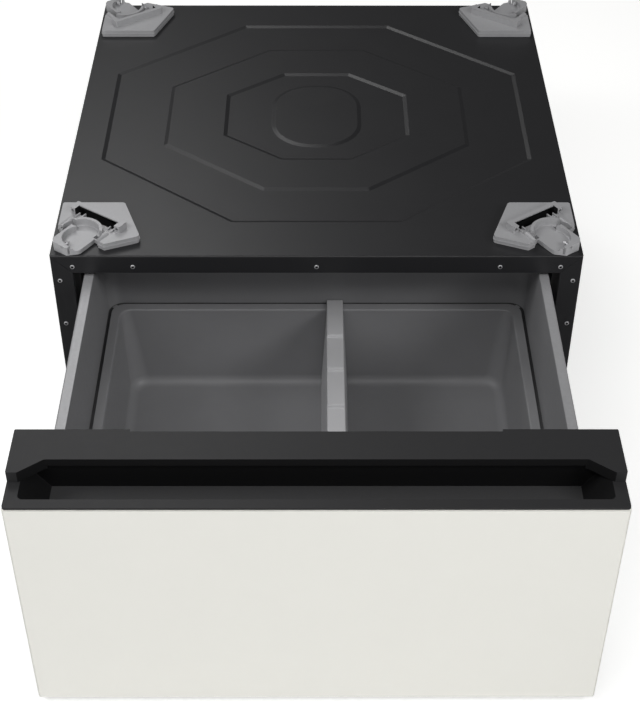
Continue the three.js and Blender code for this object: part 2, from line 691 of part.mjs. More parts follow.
function clampBase() {
  const low = clampFloor;
  const outline = clampOutline();
  const grooveLow = low + (CLAMP_BASE_HEIGHT - CLAMP_GROOVE_HEIGHT) / 2;
  const top = low + CLAMP_BASE_HEIGHT;
  const shrink = (points) => {
    const cx = points.reduce((sum, [u]) => sum + u, 0) / points.length;
    const cy = points.reduce((sum, [, v]) => sum + v, 0) / points.length;
    return points.map(([u, v]) => {
      const length = Math.hypot(u - cx, v - cy);
      const k = (length - CLAMP_GROOVE_DEPTH) / length;
      return [cx + (u - cx) * k, cy + (v - cy) * k];
    });
  };
  const plate = loft([
    { points: outline, z: low },
    { points: outline, z: grooveLow },
    { points: shrink(outline), z: grooveLow + 0.05 },
    { points: shrink(outline), z: grooveLow + CLAMP_GROOVE_HEIGHT - 0.05 },
    { points: outline, z: grooveLow + CLAMP_GROOVE_HEIGHT },
    { points: outline, z: top },
  ]);
  const ribTop = low + RIB_HEIGHT;
  const armInside = RIB_HALF_WIDTH - RIB_ARM_WIDTH;
  const ribEnd = RIB_LENGTH - ribReach;
  const rib = cut(
    block(-ribReach, ribEnd, -RIB_HALF_WIDTH, RIB_HALF_WIDTH, top - 1, ribTop),
    block(RIB_TOP_WIDTH - ribReach, ribEnd + 1, -armInside, armInside, top - 2, ribTop + 1),
  );
  // The rib is a shell: a deep slot in front of it runs back under its top.
  const hollow = join(
    block(
      RIB_SKIN - ribReach,
      RIB_TOP_WIDTH + RIB_HOLLOW - ribReach,
      -armInside,
      armInside,
      low + RIB_SKIN,
      ribTop - RIB_SKIN,
    ),
    block(
      RIB_TOP_WIDTH - ribReach,
      RIB_TOP_WIDTH + RIB_HOLLOW - ribReach,
      -armInside,
      armInside,
      low + RIB_SKIN,
      ribTop,
    ),
  );
  const bossBar = (v) =>
    common(
      prism(outline, low, low + BOSS_HEIGHT),
      block(
        -BOSS_LENGTH,
        collarRadius,
        v - BOSS_WIDTH / 2,
        v + BOSS_WIDTH / 2,
        low,
        low + BOSS_HEIGHT,
      ),
    );
  const tunnel = (radius, u, v, z) =>
    rod(radius, BOSS_LENGTH, 10).rotateY(Math.PI / 2).translate(u, v, z);
  const bossTunnel = (v) => tunnel(BOSS_HOLE_RADIUS, BOSS_WIDTH, v, low + BOSS_HOLE_HEIGHT);
  const armTunnel = (side) =>
    tunnel(ARM_HOLE_RADIUS, ribEnd, side * (RIB_HALF_WIDTH - RIB_ARM_WIDTH / 2), (top + ribTop) / 2);
  const collarSpace = cut(
    rod(collarRadius + FIT_GAP, 3 * RIB_HEIGHT, 2 * ROUND_STEPS).translate(0, 0, low),
    block(CUP_SLOT.to + FIT_GAP, ribReach, -ribReach, ribReach, low - 2 * RIB_HEIGHT, low + 2 * RIB_HEIGHT),
  );
  const cupSpace = join(
    collarSpace,
    block(
      CUP_SLOT.to,
      CUP_NOSE_REACH + 1,
      -CUP_INNER_HALF - FIT_GAP,
      CUP_OUTER_HALF + FIT_GAP,
      low - 3,
      low + 2 * RIB_HEIGHT,
    ),
  );
  return toCorner(
    cut(
      join(plate, rib, bossBar(BOSS_OUTER), bossBar(-BOSS_INNER)),
      hollow,
      cupSpace,
      bossTunnel(BOSS_OUTER),
      bossTunnel(-BOSS_INNER),
      armTunnel(1),
      armTunnel(-1),
    ),
  );
}

// Places a front right piece in all four corners, with every nose towards its own corner.
function placeCorners(name, geometry, material) {
  const back = mirrored(geometry, "y").translate(0, CABINET_DEPTH, 0);
  place(`${name}_front_right`, geometry, material);
  place(`${name}_front_left`, mirrored(geometry, "x"), material);
  place(`${name}_back_right`, back, material);
  place(`${name}_back_left`, mirrored(back, "x"), material);
}
placeCorners("clamp_base", clampBase(), clampGrey);
placeCorners("foot_cup", footCup(), clampGrey);
placeCorners("cup_lock_screw", noseScrew(), screwSteel);

// ---- telescopic slides: outer, middle and inner members nested in the side gap ----

// A channel with its web at `web` and its lips towards the drawer (-1) or the cabinet (+1).
function channel(web, lip, halfHeight, towards, y0, y1) {
  const t = SLIDE_SHEET;
  const top = slideHeight + halfHeight;
  const low = slideHeight - halfHeight;
  const outline = [
    [web, low],
    [lip, low],
    [lip, low + t],
    [web + towards * t, low + t],
    [web + towards * t, top - t],
    [lip, top - t],
    [lip, top],
    [web, top],
  ];
  return prismAlongY(towards > 0 ? outline : outline.reverse(), y0, y1);
}

const slideStart = SHEET + FIT_GAP + 2;
const outerWeb = halfOpening - FIT_GAP;
const drawerFace = halfDrawer + FIT_GAP;
const nest = SLIDE_NEST_GAP + SLIDE_SHEET;
placePair(
  "slide_outer",
  channel(
    outerWeb,
    drawerFace + nest - SLIDE_SHEET,
    SLIDE_HALF_HEIGHT,
    -1,
    slideStart,
    slideStart + SLIDE_LENGTH,
  ),
  slideSteel,
);
const middleStart = slideStart - DRAWER_TRAVEL / 2;
placePair(
  "slide_middle",
  channel(
    outerWeb - nest,
    drawerFace + nest,
    SLIDE_HALF_HEIGHT - nest,
    -1,
    middleStart,
    middleStart + SLIDE_LENGTH,
  ),
  slideSteel,
);
placePair(
  "slide_inner",
  channel(
    drawerFace,
    outerWeb - 2 * nest,
    SLIDE_HALF_HEIGHT - 2 * nest,
    1,
    drawerFront + 4,
    drawerRear - 4,
  ),
  slideSteel,
);

function slideBracket() {
  const low = slideHeight - BRACKET_HALF_HEIGHT;
  const top = slideHeight + BRACKET_HALF_HEIGHT;
  const profile = [
    [halfOpening, low],
    [insideWall, low],
    [insideWall, low + SHEET],
    [halfOpening + SHEET, low + SHEET],
    [halfOpening + SHEET, top - SHEET],
    [insideWall, top - SHEET],
    [insideWall, top],
    [halfOpening, top],
  ];
  return prismAlongY(profile, FRONT_RETURN + FIT_GAP, slideStart + SLIDE_LENGTH);
}
placePair("slide_bracket", slideBracket(), galvanised);

// ---- drawer box ----

function drawerSide() {
  const low = drawerLow;
  const hem = halfDrawer - SIDE_HEM_WIDTH;
  const profile = [
    [halfDrawer - SIDE_FOOT, low],
    [halfDrawer, low],
    [halfDrawer, drawerTop],
    [hem, drawerTop],
    [hem, drawerTop - SIDE_HEM_DROP],
    [hem + SHEET, drawerTop - SIDE_HEM_DROP],
    [hem + SHEET, drawerTop - SHEET],
    [halfDrawer - SHEET, drawerTop - SHEET],
    [halfDrawer - SHEET, low + SHEET],
    [halfDrawer - SIDE_FOOT, low + SHEET],
  ];
  return prismAlongY(profile, drawerFront, drawerRear);
}
placePair("drawer_side", drawerSide(), galvanised);

const insideDrawer = halfDrawer - SHEET - FIT_GAP;
place(
  "drawer_floor",
  block(
    -insideDrawer,
    insideDrawer,
    drawerFront,
    drawerRear - SHEET - FIT_GAP,
    floorSheet,
    floorSheet + SHEET,
  ),
  galvanised,
);
place(
  "drawer_back",
  block(
    -insideDrawer,
    insideDrawer,
    drawerRear - SHEET,
    drawerRear,
    floorSheet,
    drawerTop - BACK_SHEET_DROP,
  ),
  galvanised,
);

// ---- moulded bin: upper walls, a ledge all round, lower walls and a filleted floor ----

const binHalf = halfDrawer - SIDE_HEM_WIDTH - BIN_CLEARANCE - BIN_WALL;
const binFront = drawerFront + BIN_END_CLEARANCE + BIN_WALL;
const binBack = drawerRear - SHEET - BIN_END_CLEARANCE - BIN_WALL;

// One level of the bin: how far in from the rim's inner face, its corner radius and its height.
function binRing(inset, radius, z, grow) {
  const half = binHalf - inset + grow;
  const front = binFront + inset - grow;
  const back = binBack - inset + grow;
  const points = roundedRectangle(-half, half, front, back, radius + grow);
  return { points, z };
}

const ledgeOuter = BIN_UPPER_DRAFT;
const ledgeInner = ledgeOuter + BIN_LEDGE_WIDTH;
const binFoot = ledgeInner + BIN_LOWER_DRAFT;

function binBody(grow, floorLevel, ledgeLevel, topLevel) {
  const f = BIN_FLOOR_FILLET;
  return loft([
    binRing(binFoot + f, BIN_LOWER_RADIUS, floorLevel, grow),
    binRing(binFoot + 0.3 * f, BIN_LOWER_RADIUS + 0.7 * f, floorLevel + 0.3 * f, grow),
    binRing(binFoot, BIN_LOWER_RADIUS + f, floorLevel + f, grow),
    binRing(ledgeInner, BIN_LOWER_RADIUS, ledgeLevel, grow),
    binRing(ledgeOuter, BIN_UPPER_RADIUS, ledgeLevel + FIT_GAP, grow),
    binRing(0, BIN_UPPER_RADIUS, topLevel, grow),
  ]);
}
const binOuter = binBody(BIN_WALL, binFloor - BIN_WALL, binLedge - BIN_WALL, binRim);
const binInner = binBody(0, binFloor, binLedge, binRim + 1);
place("bin", cut(binOuter, binInner), greyPlastic);

// ---- divider: a drafted hollow wall whose tongues lie on the ledge ----

function dividerProfile(grow) {
  const tip = DIVIDER_TOP_WIDTH / 2 + grow;
  const foot = DIVIDER_BASE_WIDTH / 2 + grow;
  const low = binFloor + FIT_GAP;
  const high = binLedge + DIVIDER_TONGUE + FIT_GAP + 1;
  return [
    [DIVIDER_OFFSET - foot, low],
    [DIVIDER_OFFSET + foot, low],
    [DIVIDER_OFFSET + tip, high],
    [DIVIDER_OFFSET - tip, high],
  ];
}

// The wall's outline from the side; `inset` shrinks it for the hollow.
function dividerSide(inset) {
  const gap = 1 + inset;
  const low = binFloor + FIT_GAP;
  const tongueLow = binLedge + 2 * FIT_GAP;
  const top = tongueLow + DIVIDER_TONGUE;
  const profile = [
    [binFront + binFoot + BIN_FLOOR_FILLET + gap, low - (inset > 0 ? 1 : 0)],
    [binBack - binFoot - BIN_FLOOR_FILLET - gap, low - (inset > 0 ? 1 : 0)],
    [binBack - binFoot - gap, low + BIN_FLOOR_FILLET],
    [binBack - ledgeInner - gap, tongueLow - inset],
  ];
  if (inset === 0) {
    profile.push([binBack - ledgeOuter - gap, tongueLow], [binBack - ledgeOuter - gap, top]);
    DIVIDER_STEPS.forEach((fromBack, i) => {
      profile.push([binBack - fromBack, top - i * DIVIDER_STEP_DROP]);
      profile.push([binBack - fromBack - 2, top - (i + 1) * DIVIDER_STEP_DROP]);
    });
    const last = top - DIVIDER_STEPS.length * DIVIDER_STEP_DROP;
    const rise = binFront + ledgeInner + 20;
    profile.push([rise, last], [rise - 12, top], [binFront + ledgeOuter + gap, top]);
    profile.push([binFront + ledgeOuter + gap, tongueLow], [binFront + ledgeInner + gap, tongueLow]);
  } else {
    const last = top - DIVIDER_STEPS.length * DIVIDER_STEP_DROP - inset;
    profile.pop();
    profile.push([binBack - ledgeInner - gap, last], [binFront + ledgeInner + gap, last]);
  }
  profile.push([binFront + binFoot + gap, low + BIN_FLOOR_FILLET]);
  return profile;
}

function divider() {
  const reach = DIVIDER_BASE_WIDTH;
  const from = DIVIDER_OFFSET - reach;
  const to = DIVIDER_OFFSET + reach;
  const outer = common(
    prismAlongX(dividerSide(0), from, to),
    prismAlongY(dividerProfile(0), binFront, binBack),
  );
  const hollowProfile = dividerProfile(-DIVIDER_WALL).map(([x, z], i) => [x, i < 2 ? z - 2 : z]);
  const inner = common(
    prismAlongX(dividerSide(DIVIDER_WALL), from, to),
    prismAlongY(hollowProfile, binFront, binBack),
  );
  return cut(outer, inner);
}
place("bin_divider", divider(), greyPlastic);

// ---- drawer front ----

const capOuter = halfWidth - END_CAP_INSET;
const capInner = capOuter - END_CAP_WALL;
const capFront = panelFace + PANEL_RETURN + FIT_GAP;
const capBack = frontBack - SHEET - FIT_GAP;
const capLip = POCKET_END_INSET - TRIM_WALL - END_CAP_CLEARANCE;
const frontLow = FRONT_FLOOR_CLEARANCE;

place(
  "front_inner_panel",
  block(
    -halfWidth + TRIM_INSET,
    halfWidth - TRIM_INSET,
    frontBack - SHEET,
    frontBack,
    frontLow + FIT_GAP,
    handleTop - TRIM_REAR_WALL - FIT_GAP,
  ),
  galvanised,
);

function endCap() {
  const lip = capOuter - capLip;
  const outline = [
    [lip, capFront],
    [capOuter, capFront],
    [capOuter, capBack],
    [lip, capBack],
    [lip, capBack - END_CAP_WALL],
    [capInner, capBack - END_CAP_WALL],
    [capInner, capFront + END_CAP_WALL],
    [lip, capFront + END_CAP_WALL],
  ];
  return prism(outline, frontLow + FIT_GAP, frontTop);
}
placePair("front_end_cap", endCap(), trimBlack);

place(
  "front_bottom_cover",
  block(
    FIT_GAP + capLip - capOuter,
    capOuter - capLip - FIT_GAP,
    capFront,
    capBack,
    frontLow + FIT_GAP,
    frontLow + FIT_GAP + SHEET,
  ),
  trimBlack,
);

function frontPanel() {
  const back = panelFace + PANEL_RETURN;
  const shell = block(-halfWidth, halfWidth, panelFace, back, frontLow, frontTop);
  const hollow = block(
    PANEL_SKIN - halfWidth,
    halfWidth - PANEL_SKIN,
    panelFace + PANEL_SKIN,
    back + 1,
    frontLow + PANEL_SKIN,
    frontTop - PANEL_SKIN,
  );
  return cut(shell, hollow);
}
place("front_panel", frontPanel(), panelWhite);

// ---- handle trim: top bar, ledge and finger pocket moulded in one ----

const barFrontEnds = frontBack - BAR_DEPTH_ENDS;
const barFrontMiddle = frontBack - BAR_DEPTH_MIDDLE;
const pocketBack = barFrontMiddle + POCKET_UNDERCUT;
const pocketFront = panelFace + POCKET_FRONT_LAND;
const pocketHalf = halfWidth - POCKET_END_INSET;
const pocketLow = ledgeTop - POCKET_DEPTH;

// The bar's outline from above, drawn back by `inset` from its front, ends and rear.
function barOutline(inset) {
  const half = trimHalf - inset;
  const outer = halfWidth - BAR_DIAGONAL_OUTER - inset / 2;
  const inner = halfWidth - BAR_DIAGONAL_INNER - inset / 2;
  return [
    [half, barFrontEnds + inset],
    [half, frontBack - inset],
    [-half, frontBack - inset],
    [-half, barFrontEnds + inset],
    [-outer, barFrontEnds + inset],
    [-inner, barFrontMiddle + inset],
    [inner, barFrontMiddle + inset],
    [outer, barFrontEnds + inset],
  ];
}

// The finger pocket: upright at the back, sloping up to the front lip and to both ends.
function pocketBody(grow) {
  const foot = pocketHalf - POCKET_END_SLOPE;
  const ring = (half, front, z) => ({
    points: [
      [half + grow, pocketBack + grow],
      [-half - grow, pocketBack + grow],
      [-half - grow, front - grow],
      [half + grow, front - grow],
    ],
    z,
  });
  return loft([
    ring(foot, pocketBack - 4, pocketLow - grow),
    ring(pocketHalf, pocketFront, ledgeTop),
  ]);
}

function handleTrim() {
  const bar = prism(barOutline(0), pocketLow - TRIM_WALL, handleTop);
  const ledge = block(
    -trimHalf,
    trimHalf,
    panelFace,
    frontBack - TRIM_WALL,
    ledgeTop - LEDGE_THICKNESS,
    ledgeTop,
  );
  const notch = block(
    BAR_NOTCH_INSET - halfWidth,
    halfWidth - BAR_NOTCH_INSET,
    frontBack - BAR_NOTCH_DEPTH,
    frontBack + 1,
    pocketLow - 2 * TRIM_WALL,
    handleTop + 1,
  );
  const underBar = block(
    TRIM_WALL - trimHalf,
    trimHalf - TRIM_WALL,
    pocketBack + TRIM_WALL,
    frontBack - BAR_NOTCH_DEPTH - TRIM_WALL,
    pocketLow - 2 * TRIM_WALL,
    handleTop - TRIM_WALL,
  );
  const underRear = block(
    -halfWidth,
    halfWidth,
    frontBack - BAR_NOTCH_DEPTH - TRIM_WALL - 1,
    frontBack + 1,
    pocketLow - 2 * TRIM_WALL,
    handleTop - TRIM_REAR_WALL,
  );
  const underEnds = cut(
    block(-halfWidth, halfWidth, panelFace - 1, frontBack + 1, pocketLow - 2 * TRIM_WALL, frontTop + FIT_GAP),
    pocketBody(TRIM_WALL),
    block(
      -pocketHalf,
      pocketHalf,
      pocketBack - 1,
      frontBack + 2,
      pocketLow - 3 * TRIM_WALL,
      frontTop + 1,
    ),
  );
  const fingerSlot = prism(
    [
      [pocketHalf - POCKET_END_SLOPE, pocketBack],
      [POCKET_END_SLOPE - pocketHalf, pocketBack],
      [POCKET_END_SLOPE - pocketHalf, barFrontMiddle - 1],
      [pocketHalf - POCKET_END_SLOPE, barFrontMiddle - 1],
    ],
    ledgeTop - 1,
    handleTop - BAR_LIP,
  );
  const opening = pocketBody(0).translate(0, 0, 0.01);
  const whole = join(bar, ledge, pocketBody(TRIM_WALL));
  return cut(whole, notch, underBar, underRear, underEnds, opening, fingerSlot);
}
place("handle_trim", handleTrim(), trimBlack);

// ---- bumpers that meet the cabinet's front flange ----

const bumperLength = CLOSED_GAP - FIT_GAP;
const bumper = rod(BUMPER_RADIUS, bumperLength - FIT_GAP, 16).rotateX(Math.PI / 2);
const bumperX = halfWidth - SIDE_FLANGE / 2;
const bumperY = frontBack + FIT_GAP + (bumperLength - FIT_GAP) / 2;
const bumperZ = TOP_HEIGHT - SIDE_SCREW_FIRST_DROP - SIDE_SCREW_SPACING / 2;
place("bumper_right", bumper, rubberBlack, bumperX, bumperY, bumperZ);
place("bumper_left", bumper, rubberBlack, -bumperX, bumperY, bumperZ);

export default pedestal;
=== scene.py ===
"""Builds the looks of a washer pedestal with its drawer open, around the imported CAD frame.

Run as a script it registers its operators, runs them in order and finishes the frame.
"""

import json
import math

import bmesh
import bpy
from bpy.props import FloatProperty, FloatVectorProperty, IntProperty, PointerProperty
from mathutils import Matrix, Vector

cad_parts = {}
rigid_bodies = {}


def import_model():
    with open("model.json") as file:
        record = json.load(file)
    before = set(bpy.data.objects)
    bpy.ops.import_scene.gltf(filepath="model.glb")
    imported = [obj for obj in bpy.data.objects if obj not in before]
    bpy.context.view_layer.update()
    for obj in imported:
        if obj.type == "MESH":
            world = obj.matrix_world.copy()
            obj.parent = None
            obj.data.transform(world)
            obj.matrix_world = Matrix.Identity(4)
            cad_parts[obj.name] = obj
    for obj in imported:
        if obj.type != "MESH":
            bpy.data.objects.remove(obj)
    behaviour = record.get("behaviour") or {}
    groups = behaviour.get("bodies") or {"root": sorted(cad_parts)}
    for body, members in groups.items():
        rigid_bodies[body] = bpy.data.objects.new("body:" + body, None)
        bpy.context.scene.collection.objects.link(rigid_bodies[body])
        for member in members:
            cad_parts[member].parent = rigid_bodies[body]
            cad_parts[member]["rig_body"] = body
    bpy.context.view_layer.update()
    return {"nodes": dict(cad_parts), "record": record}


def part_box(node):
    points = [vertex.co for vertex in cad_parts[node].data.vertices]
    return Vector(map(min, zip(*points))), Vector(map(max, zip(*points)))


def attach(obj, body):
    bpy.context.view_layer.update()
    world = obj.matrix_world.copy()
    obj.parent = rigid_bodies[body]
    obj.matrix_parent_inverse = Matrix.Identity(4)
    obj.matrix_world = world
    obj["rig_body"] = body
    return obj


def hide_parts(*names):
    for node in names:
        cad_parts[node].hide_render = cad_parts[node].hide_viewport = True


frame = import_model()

bl_info = {
    "name": "Washer Pedestal Drawer",
    "version": (1, 0, 0),
    "blender": (4, 5, 0),
    "location": "View3D > Sidebar > Pedestal",
    "description": "Builds a laundry pedestal with an open storage drawer",
    "category": "Add Mesh",
}

MM = 0.001
SIDES = ("left", "right")

# ---- the pedestal's own millimetres: y = 0 is the cabinet's front face, z = 0 the floor ----
# Sheets and mouldings that lie on each other keep this gap.
GAP = 0.3
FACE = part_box("side_panel_right")[0].y
TO_FRAME = Matrix.Translation((0, FACE, 0)) @ Matrix.Scale(MM, 4)


def span(node):
    """A node's lowest and highest corners in the pedestal's own millimetres."""
    face = Vector((0, FACE, 0))
    return [(corner - face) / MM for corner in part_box(node)]


# ---- places read from the frame ----
TOP_LOW, TOP_HIGH = span("top_panel")
SIDE_LOW, SIDE_HIGH = span("side_panel_right")
CLAMP_FLOOR = span("clamp_base_front_right")[0].z
HALF_WIDTH = TOP_HIGH.x
HALF_OPENING = SIDE_LOW.x
DEPTH = TOP_HIGH.y
TOP = CLAMP_FLOOR - GAP

# ---- the photograph's camera: a fit to the cabinet's and the front's corners ----
PHOTO_WIDTH, PHOTO_HEIGHT = 640, 701
SENSOR_WIDTH = 36
FOCAL_PIXELS = 1475.75
CAMERA_PLACE = Vector((-0.0001, -1.6415, 1.5274))
CAMERA_PITCH = math.radians(40.842)
CAMERA_YAW = math.radians(-0.182)
CAMERA_ROLL = math.radians(0.116)


def linear(hex_colour):
    """The linear colour, with alpha, of an sRGB hex value such as "#E9E9E4"."""
    values = [int(hex_colour[i : i + 2], 16) / 255 for i in (1, 3, 5)]
    bend = [v / 12.92 if v <= 0.04045 else ((v + 0.055) / 1.055) ** 2.4 for v in values]
    return (*bend, 1.0)


# ---------------------------------------------------------------- user settings


def length(name, description, size):
    """A length that a user can change, with its default in millimetres."""
    return FloatProperty(
        name=name,
        description=description,
        default=size * MM,
        min=0,
        unit="LENGTH",
        precision=4,
    )


def colour(name, description, hex_colour):
    """A colour that a user can change, with its default as an sRGB hex value."""
    return FloatVectorProperty(
        name=name,
        description=description,
        default=linear(hex_colour),
        size=4,
        min=0,
        max=1,
        subtype="COLOR",
    )


class PedestalSizes(bpy.types.PropertyGroup):
    sheet: length("Sheet", "Thickness of the folded steel", 1.2)
    fold: length("Fold radius", "Middle radius of a fold in the sheet", 1.6)
    stamp_depth: length("Stamp depth", "Depth of the top's stamped octagons", 1.8)
    stamp_slope: length("Stamp slope", "Width of a stamped step, seen from above", 5.5)
    bin_wall: length("Bin wall", "Wall of the moulded bin", 2.6)
    panel_chamfer: length("Front edge", "Chamfer round the front panel's face", 2.6)
    clamp_edge: length("Clamp edge", "Rounding on the moulded clamps", 0.5)
    trim_edge: length("Trim edge", "Rounding on the handle trim", 1.1)
    round_steps: IntProperty(
        name="Round steps",
        description="Segments in a full circle",
        default=48,
        min=12,
    )


class PedestalColours(bpy.types.PropertyGroup):
    cabinet: colour("Cabinet", "Powder coat on the cabinet", "#202022")
    front: colour("Front", "Enamel on the drawer's front panel", "#E9E8E2")
    trim: colour("Handle trim", "Moulded handle trim and end caps", "#323233")
    # Painted shade: this near-black stands for the shade on the bar's front, in the pocket and in the
    # clamps' and screws' hollows.
    pocket: colour("Handle pocket", "Walls of the finger pocket, and dark recesses", "#151516")
    # Painted light: the pocket's floor is paler than the trim for the light that reaches it under the
    # bar.
    pocket_floor: colour("Pocket floor", "Floor of the finger pocket", "#444445")
    bin: colour("Bin", "Moulded bin", "#8A8A8C")
    # Painted shade: the groove round the bin's ledge is darker for the shade in it.
    groove: colour("Bin groove", "Groove round the bin's ledge", "#303031")
    divider: colour("Divider", "Moulded bin divider", "#B8B8BA")
    clamp: colour("Clamps", "Moulded washer foot clamps", "#ABABAD")
    galvanised: colour("Drawer sheet", "Galvanised drawer sides and floor", "#A8A8AA")
    slide: colour("Slides", "Zinc-plated slides", "#A9AAAC")
    screw: colour("Screws", "Nickel-plated screws", "#D2D2D4")
    rubber: colour("Rubber", "Feet and bumpers", "#1B1B1C")
    floor: colour("Floor", "Studio floor", "#F4F4F3")


# ---------------------------------------------------------------- materials


def add(tree, kind, inputs=None, **settings):
    """Adds one node with its settings, and sets or links its inputs."""
    node = tree.nodes.new(kind)
    for name, value in settings.items():
        setattr(node, name, value)
    for name, value in (inputs or {}).items():
        if isinstance(value, bpy.types.NodeSocket):
            tree.links.new(value, node.inputs[name])
        else:
            node.inputs[name].default_value = value
    return node


def start_material(name, base, roughness, metallic=0.0, ior=1.5):
    """A new material, its tree, its shader and the object's own coordinates in metres."""
    material = bpy.data.materials.new(name)
    material.use_nodes = True
    tree = material.node_tree
    shader = tree.nodes["Principled BSDF"]
    shader.inputs["Base Color"].default_value = base
    shader.inputs["Metallic"].default_value = metallic
    shader.inputs["Roughness"].default_value = roughness
    if metallic == 0:
        shader.inputs["IOR"].default_value = ior
    coordinates = add(tree, "ShaderNodeTexCoord").outputs["Object"]
    return material, tree, shader, coordinates


def grain(tree, coordinates, size, detail=2.0):
    """A noise pattern whose blotches are about `size` metres across."""
    inputs = {"Vector": coordinates, "Scale": 1 / size, "Detail": detail}
    return add(tree, "ShaderNodeTexNoise", inputs).outputs["Fac"]


# The Mix node has a socket of each name for every kind of data: these are the ones for colours.
MIX_FIRST, MIX_SECOND, MIX_RESULT = 6, 7, 2


def vary_colour(tree, shader, pattern, base, spread):
    """Lets the base colour drift by `spread` either way along a pattern."""
    darker = [max(0.0, v * (1 - spread)) for v in base[:3]] + [1]
    lighter = [min(1.0, v * (1 + spread)) for v in base[:3]] + [1]
    inputs = {"Factor": pattern, MIX_FIRST: darker, MIX_SECOND: lighter}
    mix = add(tree, "ShaderNodeMix", inputs, data_type="RGBA")
    tree.links.new(mix.outputs[MIX_RESULT], shader.inputs["Base Color"])


def vary_roughness(tree, shader, pattern, low, high):
    """Lets roughness run between two values along a pattern."""
    inputs = {"Value": pattern, "To Min": low, "To Max": high}
    socket = add(tree, "ShaderNodeMapRange", inputs).outputs["Result"]
    tree.links.new(socket, shader.inputs["Roughness"])


def raise_surface(tree, shader, pattern, depth, strength):
    """Bumps the surface by a pattern, `depth` metres from low to high."""
    inputs = {"Height": pattern, "Distance": depth, "Strength": strength}
    bump = add(tree, "ShaderNodeBump", inputs)
    tree.links.new(bump.outputs["Normal"], shader.inputs["Normal"])


def powder_coated_steel(colours):
    """Powder coat: satin, with the fine orange peel that the oven leaves."""
    material, tree, shader, at = start_material(
        "powder_coated_steel", colours.cabinet, roughness=0.38, ior=1.5
    )
    vary_colour(tree, shader, grain(tree, at, 9 * MM, 3), colours.cabinet, 0.06)
    vary_roughness(tree, shader, grain(tree, at, 45 * MM, 4), 0.35, 0.41)
    # The peel is under a millimetre wide; it is drawn 2 mm wide so that it shows.
    raise_surface(tree, shader, grain(tree, at, 2 * MM), 0.02 * MM, 0.5)
    return material


def enamelled_steel(colours):
    """Stove enamel on the front: smooth, semi-gloss, with a faint long wave in its gloss."""
    material, tree, shader, at = start_material(
        "enamelled_steel", colours.front, roughness=0.3, ior=1.52
    )
    shader.inputs["Coat Weight"].default_value = 0.3
    shader.inputs["Coat Roughness"].default_value = 0.12
    vary_colour(tree, shader, grain(tree, at, 60 * MM, 3), colours.front, 0.008)
    vary_roughness(tree, shader, grain(tree, at, 30 * MM, 3), 0.27, 0.34)
    raise_surface(tree, shader, grain(tree, at, 6 * MM), 0.012 * MM, 0.4)
    return material


def moulded_abs(colours):
    """Black ABS from a spark-eroded mould: an even, very fine satin grain."""
    material, tree, shader, at = start_material(
        "moulded_abs", colours.trim, roughness=0.42, ior=1.54
    )
    shader.inputs["Specular IOR Level"].default_value = 0.17
    vary_colour(tree, shader, grain(tree, at, 5 * MM, 4), colours.trim, 0.05)
    vary_roughness(tree, shader, grain(tree, at, 12 * MM, 4), 0.39, 0.46)
    # Spark grain is 0.1 mm wide; 1.2 mm is the finest that the render can hold.
    raise_surface(tree, shader, grain(tree, at, 1.2 * MM), 0.02 * MM, 0.6)
    return material


def textured_abs(name, base):
    """ABS with a coarse etched texture that hides finger marks; the given colour carries painted shade or
    painted light.
    """
    material, tree, shader, at = start_material(name, base, roughness=0.66, ior=1.54)
    shader.inputs["Specular IOR Level"].default_value = 0.18
    vary_colour(tree, shader, grain(tree, at, 4 * MM, 4), base, 0.08)
    vary_roughness(tree, shader, grain(tree, at, 7 * MM, 3), 0.6, 0.72)
    # The etched pits are 0.4 mm wide; they are drawn 1.4 mm wide so that they show.
    raise_surface(tree, shader, grain(tree, at, 1.4 * MM), 0.05 * MM, 0.7)
    return material


def painted_shade_abs(colours):
    """Painted shade: the near-black for the bar's front, the pocket's walls, the clamps' hollows and the
    screws' recesses.
    """
    return textured_abs("painted_shade_abs", colours.pocket)


def painted_light_pocket_floor(colours):
    """The pocket's floor, painted paler than its walls and the trim as the light that reaches it under
    the bar.
    """
    return textured_abs("painted_light_pocket_floor", colours.pocket_floor)


def polypropylene(name, base):
    """Polypropylene: waxy and dull, with a leather-fine mould grain and faint flow marks."""
    material, tree, shader, at = start_material(name, base, roughness=0.42, ior=1.49)
    vary_colour(tree, shader, grain(tree, at, 35 * MM, 5), base, 0.05)
    vary_roughness(tree, shader, grain(tree, at, 8 * MM, 4), 0.38, 0.48)
    raise_surface(tree, shader, grain(tree, at, 1.5 * MM, 3), 0.04 * MM, 0.6)
    return material


def moulded_polypropylene(colours):
    """The bin's mid-grey polypropylene."""
    return polypropylene("moulded_polypropylene", colours.bin)


def shaded_polypropylene(colours):
    """The groove round the bin's ledge, painted darker grey as the shade that falls in it."""
    return polypropylene("shaded_polypropylene", colours.groove)


def pale_polypropylene(colours):
    """The divider's paler grey, which sets it off from the bin."""
    return polypropylene("pale_polypropylene", colours.divider)


def moulded_glass_nylon(colours):
    """Silver-grey glass-filled nylon: satin, slightly mottled by the fibres at its skin."""
    material, tree, shader, at = start_material(
        "moulded_glass_nylon", colours.clamp, metallic=0.1, roughness=0.34
    )
    vary_colour(tree, shader, grain(tree, at, 3 * MM, 5), colours.clamp, 0.07)
    vary_roughness(tree, shader, grain(tree, at, 5 * MM, 4), 0.32, 0.44)
    raise_surface(tree, shader, grain(tree, at, 1 * MM, 3), 0.03 * MM, 0.6)
    return material


def galvanised_sheet(colours):
    """Skin-passed galvanised sheet: dull grey zinc whose 3 mm crystals are all but rolled away."""
    material, tree, shader, at = start_material(
        "galvanised_sheet", colours.galvanised, metallic=0.25, roughness=0.44
    )
    crystals = add(tree, "ShaderNodeTexVoronoi", {"Vector": at, "Scale": 1 / (3 * MM)})
    shade = add(tree, "ShaderNodeSeparateColor", {"Color": crystals.outputs["Color"]})
    vary_colour(tree, shader, shade.outputs["Red"], colours.galvanised, 0.025)
    vary_roughness(tree, shader, shade.outputs["Green"], 0.41, 0.48)
    raise_surface(tree, shader, grain(tree, at, 1.5 * MM), 0.006 * MM, 0.3)
    return material


